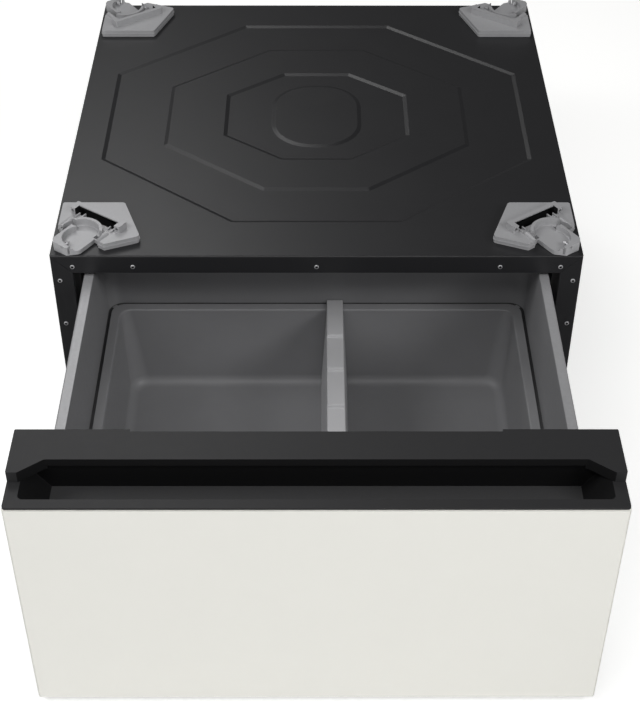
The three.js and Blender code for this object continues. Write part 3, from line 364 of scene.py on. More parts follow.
def rolled_zinc_steel(colours):
    """Roll-formed, zinc-plated steel: bright, with fine rolling lines along the slide."""
    material, tree, shader, at = start_material(
        "rolled_zinc_steel", colours.slide, metallic=0.95, roughness=0.32
    )
    # Rolling lines are 0.3 mm apart and many times as long, so the noise is stretched along Y.
    stretch = add(tree, "ShaderNodeMapping", {"Vector": at, "Scale": (1, 0.02, 1)})
    lines = grain(tree, stretch.outputs["Vector"], 0.6 * MM, 3)
    vary_colour(tree, shader, lines, colours.slide, 0.06)
    vary_roughness(tree, shader, lines, 0.26, 0.4)
    raise_surface(tree, shader, lines, 0.01 * MM, 0.4)
    return material


def nickel_plated_steel(colours):
    """Nickel-plated screws: bright metal with slight handling marks."""
    material, tree, shader, at = start_material(
        "nickel_plated_steel", colours.screw, metallic=0.7, roughness=0.4
    )
    vary_colour(tree, shader, grain(tree, at, 1 * MM, 3), colours.screw, 0.08)
    vary_roughness(tree, shader, grain(tree, at, 0.8 * MM, 3), 0.33, 0.48)
    return material


def moulded_rubber(colours):
    """Black rubber: matt, with a dusty bloom in patches."""
    material, tree, shader, at = start_material(
        "moulded_rubber", colours.rubber, roughness=0.8, ior=1.52
    )
    vary_colour(tree, shader, grain(tree, at, 6 * MM, 4), colours.rubber, 0.2)
    vary_roughness(tree, shader, grain(tree, at, 4 * MM, 3), 0.7, 0.9)
    raise_surface(tree, shader, grain(tree, at, 1 * MM), 0.03 * MM, 0.5)
    return material


def seamless_floor(colours):
    """A white acrylic table, lit from below as for a product photograph."""
    material, tree, shader, at = start_material("seamless_floor", colours.floor, roughness=0.7)
    vary_colour(tree, shader, grain(tree, at, 400 * MM, 3), colours.floor, 0.01)
    shader.inputs["Emission Color"].default_value = colours.floor
    shader.inputs["Emission Strength"].default_value = 0.62
    return material


FINISHES = {
    "cabinet_paint": powder_coated_steel,
    "front_enamel": enamelled_steel,
    "black_plastic": moulded_abs,
    "bin_plastic": moulded_polypropylene,
    "clamp_plastic": moulded_glass_nylon,
    "galvanised_steel": galvanised_sheet,
    "slide_steel": rolled_zinc_steel,
    "screw_steel": nickel_plated_steel,
    "rubber": moulded_rubber,
    "floor": seamless_floor,
}
SLOT_OF = {s["node"]: s["material_slot"] for s in frame["record"]["subparts"]}


def made_by(maker):
    """The material that a maker gives, made on first use."""
    found = bpy.data.materials.get(maker.__name__)
    return found or maker(bpy.context.scene.pedestal_colours)


def finish(slot):
    """The material for one of the record's slots."""
    return made_by(FINISHES[slot])


def paint_faces(piece, maker, belongs):
    """Gives the faces that a test picks, by centre and normal, a finish of their own."""
    piece.data.materials.append(made_by(maker))
    index = len(piece.data.materials) - 1
    back = TO_FRAME.inverted()
    for face in piece.data.polygons:
        if belongs(back @ face.center, face.normal):
            face.material_index = index


# ---------------------------------------------------------------- shapes
# A shape is a pair of lists, corners and faces, in the pedestal's millimetres.

# Corners closer than this, in metres, become one: in a fresh mesh, a cut one and a CAD one.
WELD_FRESH, WELD_CUT, WELD_CAD = 1e-6, 5e-6, 1e-5
# Faces that meet at less than this many degrees become one: in a cut mesh and in a CAD one.
FLAT_CUT, FLAT_CAD = 0.6, 0.5
# Edges sharper than this many degrees are rounded.
BEVEL_ANGLE = 22
# The width of rounding on the CAD nodes that stay, in millimetres.
CAD_EDGE = 0.35


def lofted(rings):
    """Faces between rings that all have the same count of points, with both ends filled."""
    count = len(rings[0])
    corners = [Vector(p) for ring in rings for p in ring]
    faces = []
    for level in range(len(rings) - 1):
        for i in range(count):
            a = level * count + i
            b = level * count + (i + 1) % count
            faces.append((a, b, b + count, a + count))
    faces.append(tuple(reversed(range(count))))
    faces.append(tuple(range((len(rings) - 1) * count, len(rings) * count)))
    return corners, faces


def moved(shape, matrix):
    """A copy of a shape moved by a matrix."""
    corners, faces = shape
    return [matrix @ c for c in corners], list(faces)


def prism(outline, z0, z1):
    """An outline in X and Y raised from z0 to z1."""
    return lofted([[(x, y, z) for x, y in outline] for z in (z0, z1)])


def along_y(outline, y0, y1):
    """An outline in X and Z run from y0 to y1."""
    return lofted([[(x, y, z) for x, z in outline] for y in (y0, y1)])


def along_x(outline, x0, x1):
    """An outline in Y and Z run from x0 to x1."""
    return lofted([[(x, y, z) for y, z in outline] for x in (x0, x1)])


def directions(steps):
    """The directions (cosine, sine) of a circle's points."""
    return [(math.cos(math.tau * i / steps), math.sin(math.tau * i / steps)) for i in range(steps)]


def circle(radius, height, steps):
    """A level ring of points about Z."""
    return [(radius * c, radius * s, height) for c, s in directions(steps)]


def turned(profile, steps):
    """A profile of (radius, height) turned about Z."""
    return lofted([circle(radius, height, steps) for radius, height in profile])


def box(x0, x1, y0, y1, z0, z1):
    """A block between two values on each axis."""
    return prism([(x0, y0), (x1, y0), (x1, y1), (x0, y1)], z0, z1)


def shift(x=0, y=0, z=0):
    """A matrix that moves by these millimetres."""
    return Matrix.Translation((x, y, z))


def turn(degrees, axis="Z"):
    """A matrix that turns about an axis."""
    return Matrix.Rotation(math.radians(degrees), 4, axis)


def rounded(corners, radii, steps=5, closed=True):
    """A polygon or line with each corner turned into an arc of steps + 1 points."""
    points = []
    count = len(corners)
    radii = [radii] * count if isinstance(radii, (int, float)) else radii
    for i, (corner, radius) in enumerate(zip(corners, radii)):
        here = Vector(corner)
        if not closed and i in (0, count - 1):
            points.append(tuple(here))
            continue
        before = (Vector(corners[i - 1]) - here).normalized()
        after = (Vector(corners[(i + 1) % count]) - here).normalized()
        half = before.angle(after) / 2
        if radius <= 0:
            points.append(tuple(here))
            continue
        reach = radius / math.tan(half)
        centre = here + (before + after).normalized() * (radius / math.sin(half))
        first = here + before * reach - centre
        last = here + after * reach - centre
        start = math.atan2(first.y, first.x)
        sweep = math.atan2(first.x * last.y - first.y * last.x, first.dot(last))
        for k in range(steps + 1):
            angle = start + sweep * k / steps
            points.append(tuple(centre + radius * Vector((math.cos(angle), math.sin(angle)))))
    return points


def offset(line, distance, closed=False):
    """A line of 2-D points moved sideways, to its left, by a distance."""
    result = []
    last = len(line) - 1
    for i, point in enumerate(line):
        here = Vector(point)
        before = Vector(line[i - 1 if closed or i else 0])
        after = Vector(line[(i + 1) % len(line) if closed or i < last else last])
        legs = [leg.normalized() for leg in (here - before, after - here) if leg.length > 1e-9]
        mean = sum((Vector((-leg.y, leg.x)) for leg in legs), Vector((0, 0))) / len(legs)
        result.append(tuple(here + mean / mean.length_squared * distance))
    return result


def folded(middle_line, sheet, fold, steps=5):
    """The outline of a sheet of steel folded along its middle line."""
    line = rounded(middle_line, fold, steps, closed=False)
    return offset(line, -sheet / 2) + offset(line, sheet / 2)[::-1]


def rounded_rectangle(x0, x1, y0, y1, radius, steps=8):
    """A rectangle with round corners, from its far right one."""
    return rounded([(x1, y1), (x0, y1), (x0, y0), (x1, y0)], radius, steps)


def mesh_of(shape):
    """A mesh in the frame's metres, with its faces turned outwards."""
    corners, faces = shape
    mesh = bpy.data.meshes.new("shape")
    mesh.from_pydata([tuple(TO_FRAME @ c) for c in corners], [], faces)
    work = bmesh.new()
    work.from_mesh(mesh)
    bmesh.ops.remove_doubles(work, verts=work.verts, dist=WELD_FRESH)
    bmesh.ops.recalc_face_normals(work, faces=work.faces)
    work.to_mesh(mesh)
    work.free()
    return mesh


def carved(base, *steps):
    """A mesh of one shape, joined with or cut by others in order.

    Each step is a pair: "UNION", "DIFFERENCE" or "INTERSECT", and a shape.
    """
    scene = bpy.context.scene.collection
    holder = bpy.data.objects.new("carved", mesh_of(base))
    scene.objects.link(holder)
    tools = []
    for operation, shape in steps:
        tool = bpy.data.objects.new("tool", mesh_of(shape))
        scene.objects.link(tool)
        tools.append(tool)
        modifier = holder.modifiers.new("carve", "BOOLEAN")
        modifier.operation = operation
        modifier.solver = "EXACT"
        modifier.object = tool
    view = bpy.context.evaluated_depsgraph_get()
    mesh = bpy.data.meshes.new_from_object(holder.evaluated_get(view))
    for tool in tools + [holder]:
        bpy.data.objects.remove(tool)
    work = bmesh.new()
    work.from_mesh(mesh)
    bmesh.ops.remove_doubles(work, verts=work.verts, dist=WELD_CUT)
    bmesh.ops.dissolve_limit(
        work, angle_limit=math.radians(FLAT_CUT), verts=list(work.verts), edges=list(work.edges)
    )
    work.to_mesh(mesh)
    work.free()
    return mesh


def carved_shape(base, *steps):
    """The same as carved, given back as a shape for further work."""
    mesh = carved(base, *steps)
    back = TO_FRAME.inverted()
    corners = [back @ v.co for v in mesh.vertices]
    return corners, [tuple(face.vertices) for face in mesh.polygons]


def mirrored(mesh, matrix):
    """A copy of a mesh moved by a matrix in the pedestal's millimetres."""
    whole = TO_FRAME @ matrix @ TO_FRAME.inverted()
    copy = mesh.copy()
    copy.transform(whole)
    if whole.determinant() < 0:
        copy.flip_normals()
    return copy


MIRROR_X = Matrix.Diagonal((-1, 1, 1, 1))
HANDS = {"right": Matrix.Identity(4), "left": MIRROR_X}


def even_shading(piece):
    """Shades flats as flat right up to the edges beside them."""
    piece.modifiers.new("even_shading", "WEIGHTED_NORMAL").keep_sharp = True


def round_edges(piece, width, segments):
    """Rounds a piece's sharp edges, and keeps its flats flat beside them."""
    bevel = piece.modifiers.new("round_edges", "BEVEL")
    bevel.width = width * MM
    bevel.segments = segments
    bevel.limit_method = "ANGLE"
    bevel.angle_limit = math.radians(BEVEL_ANGLE)
    bevel.material = 0
    bevel.use_clamp_overlap = True
    even_shading(piece)


def give_finish(piece, slot):
    """Leaves one of the record's finishes as a piece's only one."""
    piece.data.materials.clear()
    piece.data.materials.append(finish(slot))


def restyle(node, mesh, edge=0.0, segments=3, smooth=35):
    """Puts a finer mesh in a CAD node's place, on its body and with its finish."""
    name = f"{node}_fine"
    mesh = mesh_of(mesh) if isinstance(mesh, tuple) else mesh
    mesh.name = name
    mesh.shade_smooth()
    mesh.set_sharp_from_angle(angle=math.radians(BEVEL_ANGLE if edge else smooth))
    piece = bpy.data.objects.new(name, mesh)
    bpy.context.scene.collection.objects.link(piece)
    give_finish(piece, SLOT_OF[node])
    if edge:
        round_edges(piece, edge, segments)
    else:
        even_shading(piece)
    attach(piece, frame["nodes"][node]["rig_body"])
    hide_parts(node)
    return piece


def restyle_pair(stem, mesh):
    """The same for a right-hand sheet metal mesh and its mirror image."""
    for side, hand in HANDS.items():
        restyle(f"{stem}_{side}", mirrored(mesh, hand), smooth=40)


def soften(node):
    """Gives a CAD node its finish and eases its edges, leaving its mesh as it is."""
    piece = frame["nodes"][node]
    give_finish(piece, SLOT_OF[node])
    weld = piece.modifiers.new("weld", "WELD")
    weld.merge_threshold = WELD_CAD
    flatten = piece.modifiers.new("flats", "DECIMATE")
    flatten.decimate_type = "DISSOLVE"
    flatten.angle_limit = math.radians(FLAT_CAD)
    round_edges(piece, CAD_EDGE, 2)


def millimetres(value):
    """A user's length in millimetres."""
    return value / MM


def cut(shapes):
    """Steps for carved that take each of these shapes away."""
    return [("DIFFERENCE", shape) for shape in shapes]


# ---------------------------------------------------------------- stamped top

# Each octagon is a share of the stamped field; `flat` and `side` are its straight edges' shares.
OUTER_STAMP = {"size": 1, "flat": 0.376, "side": 0.44}
MIDDLE_STAMP = {"size": 0.717, "flat": 0.336, "side": 0.416}
INNER_STAMP = {"size": 0.437, "flat": 0.372, "side": 0.47}
ISLAND = {"width": 0.208, "depth": 0.309, "rounding": 0.92}
# The stamped field's distances from the top's edges.
STAMP_SIDE, STAMP_FRONT, STAMP_BACK = 45, 77, 70
STAMP_CORNER = 3
STAMP_BEND = 1.6
OCTAGON_ARC = 4
# The stamped sheet starts this far behind the flange's face, where the flange's fold has ended.
SKIN_START = 4
SCREW_HOLE_RADIUS = 2.1


def stamped_outline(stamp, grow):
    """One stamped line on the top, `grow` outside its edge, from the right-hand back corner."""
    half = HALF_WIDTH - STAMP_SIDE
    deep = (DEPTH - STAMP_BACK - STAMP_FRONT) / 2
    middle = STAMP_FRONT + deep
    if "rounding" in stamp:
        w = half * stamp["width"] + grow
        d = deep * stamp["depth"] + grow
        arc = 2 * OCTAGON_ARC + 1
        radius = min(w, d) * stamp["rounding"]
        return rounded_rectangle(-w, w, middle - d, middle + d, radius, arc)
    w = half * stamp["size"]
    d = deep * stamp["size"]
    f, s = w * stamp["flat"], d * stamp["side"]
    back = [(w, s), (f, d), (-f, d), (-w, s)]
    corners = [(x, middle + y) for x, y in back] + [(-x, middle - y) for x, y in back]
    return rounded(offset(corners, -grow, closed=True), STAMP_CORNER, OCTAGON_ARC)


def stamped_step(stamp, outwards, sizes):
    """Rings across one stamped step, from outside to inside, down inwards or else outwards."""
    depth, slope = millimetres(sizes.stamp_depth), millimetres(sizes.stamp_slope)
    corners = [(slope * 3, 0), (slope, 0), (0, -depth), (-slope * 3, -depth)]
    line = rounded(corners, STAMP_BEND, 3, False)
    if outwards:
        line = [(grow, -depth - drop) for grow, drop in line]
    return [(stamped_outline(stamp, grow - slope / 2), drop) for grow, drop in line[1:-1]]


def top_skin_levels(sizes):
    """The stamped surface as (outline, drop) rings, from the sheet's edge to the island."""
    arc = 2 * OCTAGON_ARC + 1
    levels = [(rounded_rectangle(-HALF_WIDTH, HALF_WIDTH, SKIN_START, DEPTH, 1.2, arc), 0)]
    for index, stamp in enumerate((OUTER_STAMP, MIDDLE_STAMP, INNER_STAMP, ISLAND)):
        # Inwards, the sheet goes down over one step and up again over the next.
        levels += stamped_step(stamp, index % 2 == 1, sizes)
    return levels


def pressed_sheet(levels, top, sheet):
    """A pressed sheet: its underside from the middle out, then its face from the edge in."""
    rings = []
    for outline, drop in levels[::-1]:
        rings.append([(x, y, top - sheet + drop) for x, y in outline])
    for outline, drop in levels:
        rings.append([(x, y, top + drop) for x, y in outline])
    return lofted(rings)


def screw_hole(x, z):
    """The space of a hole through a front flange."""
    drill = turned([(SCREW_HOLE_RADIUS, -6), (SCREW_HOLE_RADIUS, 6)], 24)
    return moved(drill, shift(x, 0, z) @ turn(90, "X"))


def mitre_wedge(hand):
    """The space beyond the mitre where the top's front flange meets a side panel's."""
    corner = (hand * HALF_WIDTH, TOP)
    foot = (hand * HALF_OPENING, TOP_LOW.z)
    # The wedge's slanted face runs on past both ends of the mitre, by half its length.
    run = [(low - high) / 2 for low, high in zip(foot, corner)]
    below = (foot[0] + run[0], foot[1] + run[1])
    above = (corner[0] - run[0], corner[1] - run[1])
    far = hand * (HALF_WIDTH + 60)
    return along_y([below, (far, below[1]), (far, above[1]), above], -5, SKIN_START)


def flange_screw_places():
    """Each flange screw's node, and its place across and up the cabinet's front."""
    places = []
    for node in sorted(n for n in frame["nodes"] if n.startswith("flange_screw_")):
        low, high = span(node)
        places.append((node, (low.x + high.x) / 2, (low.z + high.z) / 2))
    return places


class PEDESTAL_OT_top_panel(bpy.types.Operator):
    """Press the top panel with its octagons and fold its front flange."""

    bl_idname = "pedestal.top_panel"
    bl_label = "Top panel"

    def execute(self, context):
        sizes = context.scene.pedestal_sizes
        sheet, fold = millimetres(sizes.sheet), millimetres(sizes.fold)
        skin = pressed_sheet(top_skin_levels(sizes), TOP, sheet)
        middle = [(SKIN_START, TOP - sheet / 2), (sheet / 2, TOP - sheet / 2)]
        middle.append((sheet / 2, TOP_LOW.z))
        flange = along_x(folded(middle, sheet, fold), -HALF_WIDTH, HALF_WIDTH)
        waste = [mitre_wedge(1), mitre_wedge(-1)]
        waste += [screw_hole(x, z) for node, x, z in flange_screw_places() if "top" in node]
        restyle("top_panel", carved(skin, ("UNION", flange), *cut(waste)), smooth=50)
        return {"FINISHED"}


# ---------------------------------------------------------------- cabinet sides and back

# How far a side panel's return runs back from its face, and its rear flange in from its side.
SIDE_RETURN, REAR_FLANGE = 50, 18
# The back's pressed field: insets of its slope's start and end, and its bends' radius.
FIELD_START, FIELD_END, FIELD_BEND = 60, 66, 4


class PEDESTAL_OT_side_panels(bpy.types.Operator):
    """Fold the two side panels with their front flanges, returns and rear flanges."""

    bl_idname = "pedestal.side_panels"
    bl_label = "Side panels"

    def execute(self, context):
        sizes = context.scene.pedestal_sizes
        sheet, fold = millimetres(sizes.sheet), millimetres(sizes.fold)
        middle = sheet / 2
        low, high = SIDE_LOW, SIDE_HIGH
        line = [
            (low.x + middle, SIDE_RETURN),
            (low.x + middle, middle),
            (high.x - middle, middle),
            (high.x - middle, high.y - middle),
            (high.x - REAR_FLANGE, high.y - middle),
        ]
        shell = prism(folded(line, sheet, fold), low.z, high.z)
        inside = high.x - sheet - GAP
        slack = GAP * 1.5
        mitre = along_y(
            [
                (HALF_OPENING - 2, TOP_LOW.z - slack - 2),
                (HALF_WIDTH + 2, TOP - slack + 2),
                (HALF_OPENING - 2, TOP + 20),
            ],
            -5,
            sheet + fold,
        )
        rail_top = span("base_rail_front")[1].z
        behind = SIDE_RETURN + 1
        rail_notch = box(low.x - 1, inside, sheet, behind, low.z - 1, rail_top + GAP)
        corner_notch = box(low.x - 1, inside, sheet, behind, TOP_LOW.z + sheet, TOP)
        waste = [mitre, rail_notch, corner_notch]
        waste += [screw_hole(x, z) for node, x, z in flange_screw_places() if "right" in node]
        restyle_pair("side_panel", carved(shell, *cut(waste)))
        return {"FINISHED"}


class PEDESTAL_OT_back_panel(bpy.types.Operator):
    """Press the back panel with its shallow field."""

    bl_idname = "pedestal.back_panel"
    bl_label = "Back panel"

    def execute(self, context):
        low, high = span("back_panel")
        sheet = millimetres(context.scene.pedestal_sizes.sheet)
        depth = high.y - low.y - sheet
        line = [(0, 0), (FIELD_START, 0), (FIELD_END, -depth), (140, -depth)]
        line = rounded(line, FIELD_BEND, 4, False)
        levels = []
        for inset, drop in [(0, 0)] + line[1:-1]:
            # The sheet's own corners are tight, and the field's are wide.
            radius = 3 + max(0, inset - 40)
            outline = rounded_rectangle(
                low.x + inset, high.x - inset, low.z + inset, high.z - inset, radius
            )
            levels.append((outline, drop))
        sheet_shape = pressed_sheet(levels, 0, sheet)
        upright = shift(0, high.y) @ turn(90, "X") @ Matrix.Diagonal((1, 1, -1, 1))
        restyle("back_panel", moved(sheet_shape, upright), smooth=50)
        return {"FINISHED"}


# ---------------------------------------------------------------- corner clamps
# Drawn for the front right corner: u points to the corner, v across it to the outer side.

CUP_FROM_SIDE, CUP_FROM_FRONT = 38, 35
CUP_TURN = 34.5
CORNER_U = Vector((math.cos(math.radians(CUP_TURN - 90)), math.sin(math.radians(CUP_TURN - 90))))
CORNER_V = Vector((-CORNER_U.y, CORNER_U.x))
CUP_PLACE = shift(HALF_WIDTH - CUP_FROM_SIDE, CUP_FROM_FRONT, CLAMP_FLOOR) @ turn(CUP_TURN - 90)
BACKWARDS = shift(0, DEPTH) @ Matrix.Diagonal((1, -1, 1, 1))
CORNERS = {
    "front_right": Matrix.Identity(4),
    "front_left": MIRROR_X,
    "back_right": BACKWARDS,
    "back_left": MIRROR_X @ BACKWARDS,
}
WELL_RADIUS = 23.5
NOSE_WELL_RADIUS = 23
COLLAR_RADIUS = 28.5
CUP_FLOOR = 6
CUP_RIM = 13.5
COLLAR_TOP = 16
NOSE_REACH = 37.5
# The nose's two long sides, as places across.
NOSE_INNER, NOSE_OUTER = -18.7, 20.5
LOCK_SCREW_HEIGHT = 10.5
SLOT_BACK, SLOT_FRONT = -13, -5
PLATE_TOP = 10.5
# The groove round the plate's edge: its lowest and highest level, and its depth.
EDGE_GROOVE, EDGE_GROOVE_DEPTH = (4.2, 5.6), 0.9
# The rib: a wall behind the cup with an arm forward at each end, and a hollow under it.
RIB_TOP, RIB_ROOF = 20, 1.8
RIB_REACH, RIB_FACE, RIB_ARM_END = 43, 36.5, 27
RIB_HALF, ARM_INSIDE = 41.5, 33.5
HOLLOW_BACK, HOLLOW_FRONT = 41, 29.5
# The round-topped lugs beside the cup, as (place across, front end), each with a hole in its end.
LUGS = ((-27.5, 1.1), (30.5, 3.4))
LUG_BACK, LUG_HALF, LUG_TOP, LUG_ROUND = -18, 4.2, 13.5, 3.6
LUG_HOLE_RADIUS, LUG_HOLE_HEIGHT = 1.5, 8.5
# The thin fins in front of the rib, as (place across, back end, front end).
FINS = ((29, -31.5, -21.5), (21.3, -34, -24.6), (-24, -31, -24.5), (-31, -31.5, -22))
FIN_HALF, FIN_LOW, FIN_TOP = 0.9, 8, 12.8
ARM_HOLE_RADIUS, ARM_HOLE_ACROSS, ARM_HOLE_HEIGHT = 2.5, 37.5, 15.2
# Levels clear below and above the whole clamp.
BELOW, ABOVE = -3, 40


def in_corner(from_side, from_front):
    """A point given from the cabinet's side and front edges, in the corner's own axes."""
    place = Vector((CUP_FROM_SIDE - from_side, from_front - CUP_FROM_FRONT))
    return place.dot(CORNER_U), place.dot(CORNER_V)


def tunnel(radius, u0, u1, v, z):
    """The space of a round hole along u."""
    return moved(turned([(radius, u0), (radius, u1)], 20), shift(0, v, z) @ turn(90, "Y"))


def carved_at_cup(base, *steps):
    """The same as carved, for shapes drawn about the cup's middle."""
    steps = [(operation, moved(shape, CUP_PLACE)) for operation, shape in steps]
    return carved(moved(base, CUP_PLACE), *steps)


def clamp_plate():
    """The clamp's plate, with rounded corners and a groove round its edge."""
    # From the cabinet's side and front: the plate's outer corners, then its edge past the cup.
    plan = [(6, 104), (88, 104), (114.5, 29), (70, 11.5)]
    plan += [(54, 22.8), (CUP_FROM_SIDE, CUP_FROM_FRONT), (15.5, 46.2), (6, 52.7)]
    radii = [3, 5, 5, 1.2, 0, 0, 0, 2]
    outline = rounded([in_corner(*point) for point in plan], radii, 5)
    inner = offset(outline, -EDGE_GROOVE_DEPTH, closed=True)
    low, high = EDGE_GROOVE
    levels = [(outline, 0), (outline, low), (inner, low), (inner, high), (outline, high)]
    levels.append((outline, PLATE_TOP))
    return lofted([[(u, v, z) for u, v in ring] for ring, z in levels])


def clamp_base_mesh():
    """The plate with its hollow rib, lugs, fins and holes, open where the cup sits."""
    rib = rounded_rectangle(-RIB_REACH, -RIB_ARM_END, -RIB_HALF, RIB_HALF, 1.5, 4)
    between_arms = box(-RIB_FACE, -20, -ARM_INSIDE, ARM_INSIDE, PLATE_TOP, ABOVE)
    steps = [("UNION", prism(rib, PLATE_TOP - 2, RIB_TOP)), *cut([between_arms])]
    for v, end in LUGS:
        near, far = v - LUG_HALF, v + LUG_HALF
        lug = [(near, 1), (far, 1), (far, LUG_TOP), (near, LUG_TOP)]
        steps.append(("UNION", along_x(rounded(lug, [0, 0, LUG_ROUND, LUG_ROUND]), LUG_BACK, end)))
    # The hollow under the rib goes right through the plate, so the black top shows in it.
    hollow = box(-HOLLOW_BACK, -HOLLOW_FRONT, -ARM_INSIDE, ARM_INSIDE, -1, RIB_TOP - RIB_ROOF)
    window = box(-RIB_FACE, -HOLLOW_FRONT - 0.1, 0.1 - ARM_INSIDE, ARM_INSIDE - 0.1, -2, 30)
    steps += cut([hollow, window])
    for v, back, front in FINS:
        steps.append(("UNION", box(back, front, v - FIN_HALF, v + FIN_HALF, FIN_LOW, FIN_TOP)))
    around = [(COLLAR_RADIUS + GAP, BELOW), (COLLAR_RADIUS + GAP, ABOVE)]
    nose_gap = (NOSE_INNER - GAP, NOSE_OUTER + GAP)
    holes = [turned(around, 64), box(SLOT_FRONT, NOSE_REACH + 2.5, *nose_gap, BELOW, ABOVE)]
    for v, _ in LUGS:
        holes.append(tunnel(LUG_HOLE_RADIUS, -8, 8, v, LUG_HOLE_HEIGHT))
    for hand in (1, -1):
        holes.append(tunnel(ARM_HOLE_RADIUS, -36, -20, hand * ARM_HOLE_ACROSS, ARM_HOLE_HEIGHT))
    return carved_at_cup(clamp_plate(), *steps, *cut(holes))


def cup_mesh():
    """The cup: a collar behind the slot, and a nose whose rim dies out on the inner side."""
    nose = [(SLOT_FRONT, NOSE_INNER), (NOSE_REACH - 12, NOSE_INNER), (NOSE_REACH, NOSE_INNER + 12)]
    nose += [(NOSE_REACH, NOSE_OUTER - 6), (NOSE_REACH - 6, NOSE_OUTER), (SLOT_FRONT, NOSE_OUTER)]
    low_side = [(-8, CUP_FLOOR), (0, CUP_FLOOR), (27, 10.4), (45, 10.4), (45, 30), (-8, 30)]
    slope = [(8, CUP_RIM), (-9, 12), (-45, 12), (-45, 30), (8, 30)]
    waste = [
        along_x(slope, SLOT_FRONT - 2, 45),
        moved(prism(low_side, 8.9, ABOVE), turn(90, "X")),
        moved(cup_well(NOSE_WELL_RADIUS), shift(9, -6)),
        box(28, 40, -10, -8, 1.5, 16),
        tunnel(1.8, 25, 40, 0, LOCK_SCREW_HEIGHT),
    ]
    block = prism(rounded(nose, [0, 6, 3, 3, 5, 0], 6), 0, CUP_RIM)
    return carved_at_cup(block, *cut(waste), ("UNION", cup_collar()))


def cup_collar():
    """The cup's back half: a raised collar, then the slot with a deep hole at each end."""
    collar_side = [(COLLAR_RADIUS, 0), (COLLAR_RADIUS, 13), (COLLAR_RADIUS - 0.6, COLLAR_TOP)]
    hole_back, hole_front = SLOT_BACK + 0.5, SLOT_FRONT - 0.5
    return carved_shape(
        turned(collar_side, 72),
        ("INTERSECT", box(-40, SLOT_FRONT + 1, -40, 40, -1, 30)),
        ("DIFFERENCE", cup_well(WELL_RADIUS)),
        ("DIFFERENCE", box(SLOT_BACK, 0, -40, 40, CUP_FLOOR, 30)),
        ("DIFFERENCE", box(hole_back, hole_front, 15, 40, 1.5, 10)),
        ("DIFFERENCE", box(hole_back, hole_front, -40, -15, 1.5, 10)),
    )


def cup_well(radius):
    """The round space that a washer's foot stands in, with a fillet round its floor."""
    fillet = 1.5
    side = [(radius - fillet, CUP_FLOOR), (radius - 0.3 * fillet, CUP_FLOOR + 0.3 * fillet)]
    side += [(radius, CUP_FLOOR + fillet), (radius + 0.1, 13), (radius + 0.5, 18)]
    return turned(side, 72)


def lock_screw_mesh():
    """The small screw in the nose, with a slotted end and a hexagon nut inside the well."""
    side = [(1.2, 23), (1.5, 23.4), (1.5, 36), (1.2, 36.4)]
    screw = moved(turned(side, 20), turn(90, "Y"))
    nut = moved(turned([(2.6, 25.2), (3, 25.6), (3, 27.6), (2.6, 28)], 6), turn(90, "Y"))
    slot = box(35.6, 37, -0.3, 0.3, -3, 3)
    lift = CUP_PLACE @ shift(0, 0, LOCK_SCREW_HEIGHT)
    return carved(moved(screw, lift), ("UNION", moved(nut, lift)), ("DIFFERENCE", moved(slot, lift)))


def blacken_hollow(piece, matrix):
    """Paints shade into the hollow under the rib, as the near-black finish on its faces."""
    to_corner = (matrix @ CUP_PLACE).inverted()

    def in_hollow(centre, normal):
        u, v, z = to_corner @ centre
        inside = -HOLLOW_BACK - 0.2 < u < 0.1 - HOLLOW_FRONT and abs(v) < ARM_INSIDE + 0.2
        return inside and z < RIB_TOP - RIB_ROOF + 0.3

    paint_faces(piece, painted_shade_abs, in_hollow)


class PEDESTAL_OT_clamps(bpy.types.Operator):
    """Mould the four corner clamps with their washer foot cups and lock screws."""

    bl_idname = "pedestal.clamps"
    bl_label = "Corner clamps"

    def execute(self, context):
        edge = millimetres(context.scene.pedestal_sizes.clamp_edge)
        for stem, mesh, width in (
            ("clamp_base", clamp_base_mesh(), edge),
            ("foot_cup", cup_mesh(), edge),
            ("cup_lock_screw", lock_screw_mesh(), 0),
        ):
            for corner, matrix in CORNERS.items():
                piece = restyle(f"{stem}_{corner}", mirrored(mesh, matrix), width)
                if stem == "clamp_base":
                    # The hollow under the rib gets painted shade.
                    blacken_hollow(piece, matrix)
        return {"FINISHED"}


# ---------------------------------------------------------------- screws, feet and bumpers

# The flange screw: its thread's rings, its head, the dish in the head and the cross in the dish.
THREAD_CREST, THREAD_ROOT, THREAD_PITCH, THREAD_RINGS = 1.8, 1.45, 0.9, 7
HEAD_RADIUS, HEAD_TOP = 3, 1.5
DISH_RADIUS, DISH_FLOOR = 1.4, 1.15
CROSS_REACH, CROSS_HALF, CROSS_FLOOR = 1.3, 0.3, 0.4
# The foot's stem: its thread's radii and pitch.
STEM_CREST, STEM_ROOT, STEM_PITCH = 5, 4.4, 1.5


def flange_screw_mesh(steps):
    """A pan head with a cross recess over a pointed, ringed shank, drawn facing up."""
    profile = [(0.4, -8), (1.2, -7.2)]
    for ring in range(THREAD_RINGS):
        crest = -6.8 + ring * THREAD_PITCH
        profile += [(THREAD_CREST, crest), (THREAD_ROOT, crest + THREAD_PITCH / 2)]
    head = [(THREAD_ROOT, 0.1), (HEAD_RADIUS, 0.1), (HEAD_RADIUS, 1.1), (2.2, HEAD_TOP), (1.75, HEAD_TOP)]
    profile += rounded(head, [0, 0.2, 0.45, 0.3, 0], 4, False)
    # The cross runs into a round dish, which is painted black as shade and shows as a dark spot in a
    # bright ring.
    profile.append((DISH_RADIUS, DISH_FLOOR))
    rings = [circle(radius, height, steps) for radius, height in profile]
    for shrink, height in ((1, DISH_FLOOR), (0.8, CROSS_FLOOR)):
        ring = []
        for c, s in directions(steps):
            radius = shrink * cross_radius(c, s)
            ring.append((radius * c, radius * s, height))
        rings.append(ring)
    return mesh_of(lofted(rings))


def cross_radius(c, s):
    """How far the cross's outline lies from its middle, in the direction (c, s)."""
    along, aside = max(abs(c), abs(s)), min(abs(c), abs(s))
    return min(CROSS_REACH / along, CROSS_HALF / aside) if aside > 0 else CROSS_REACH


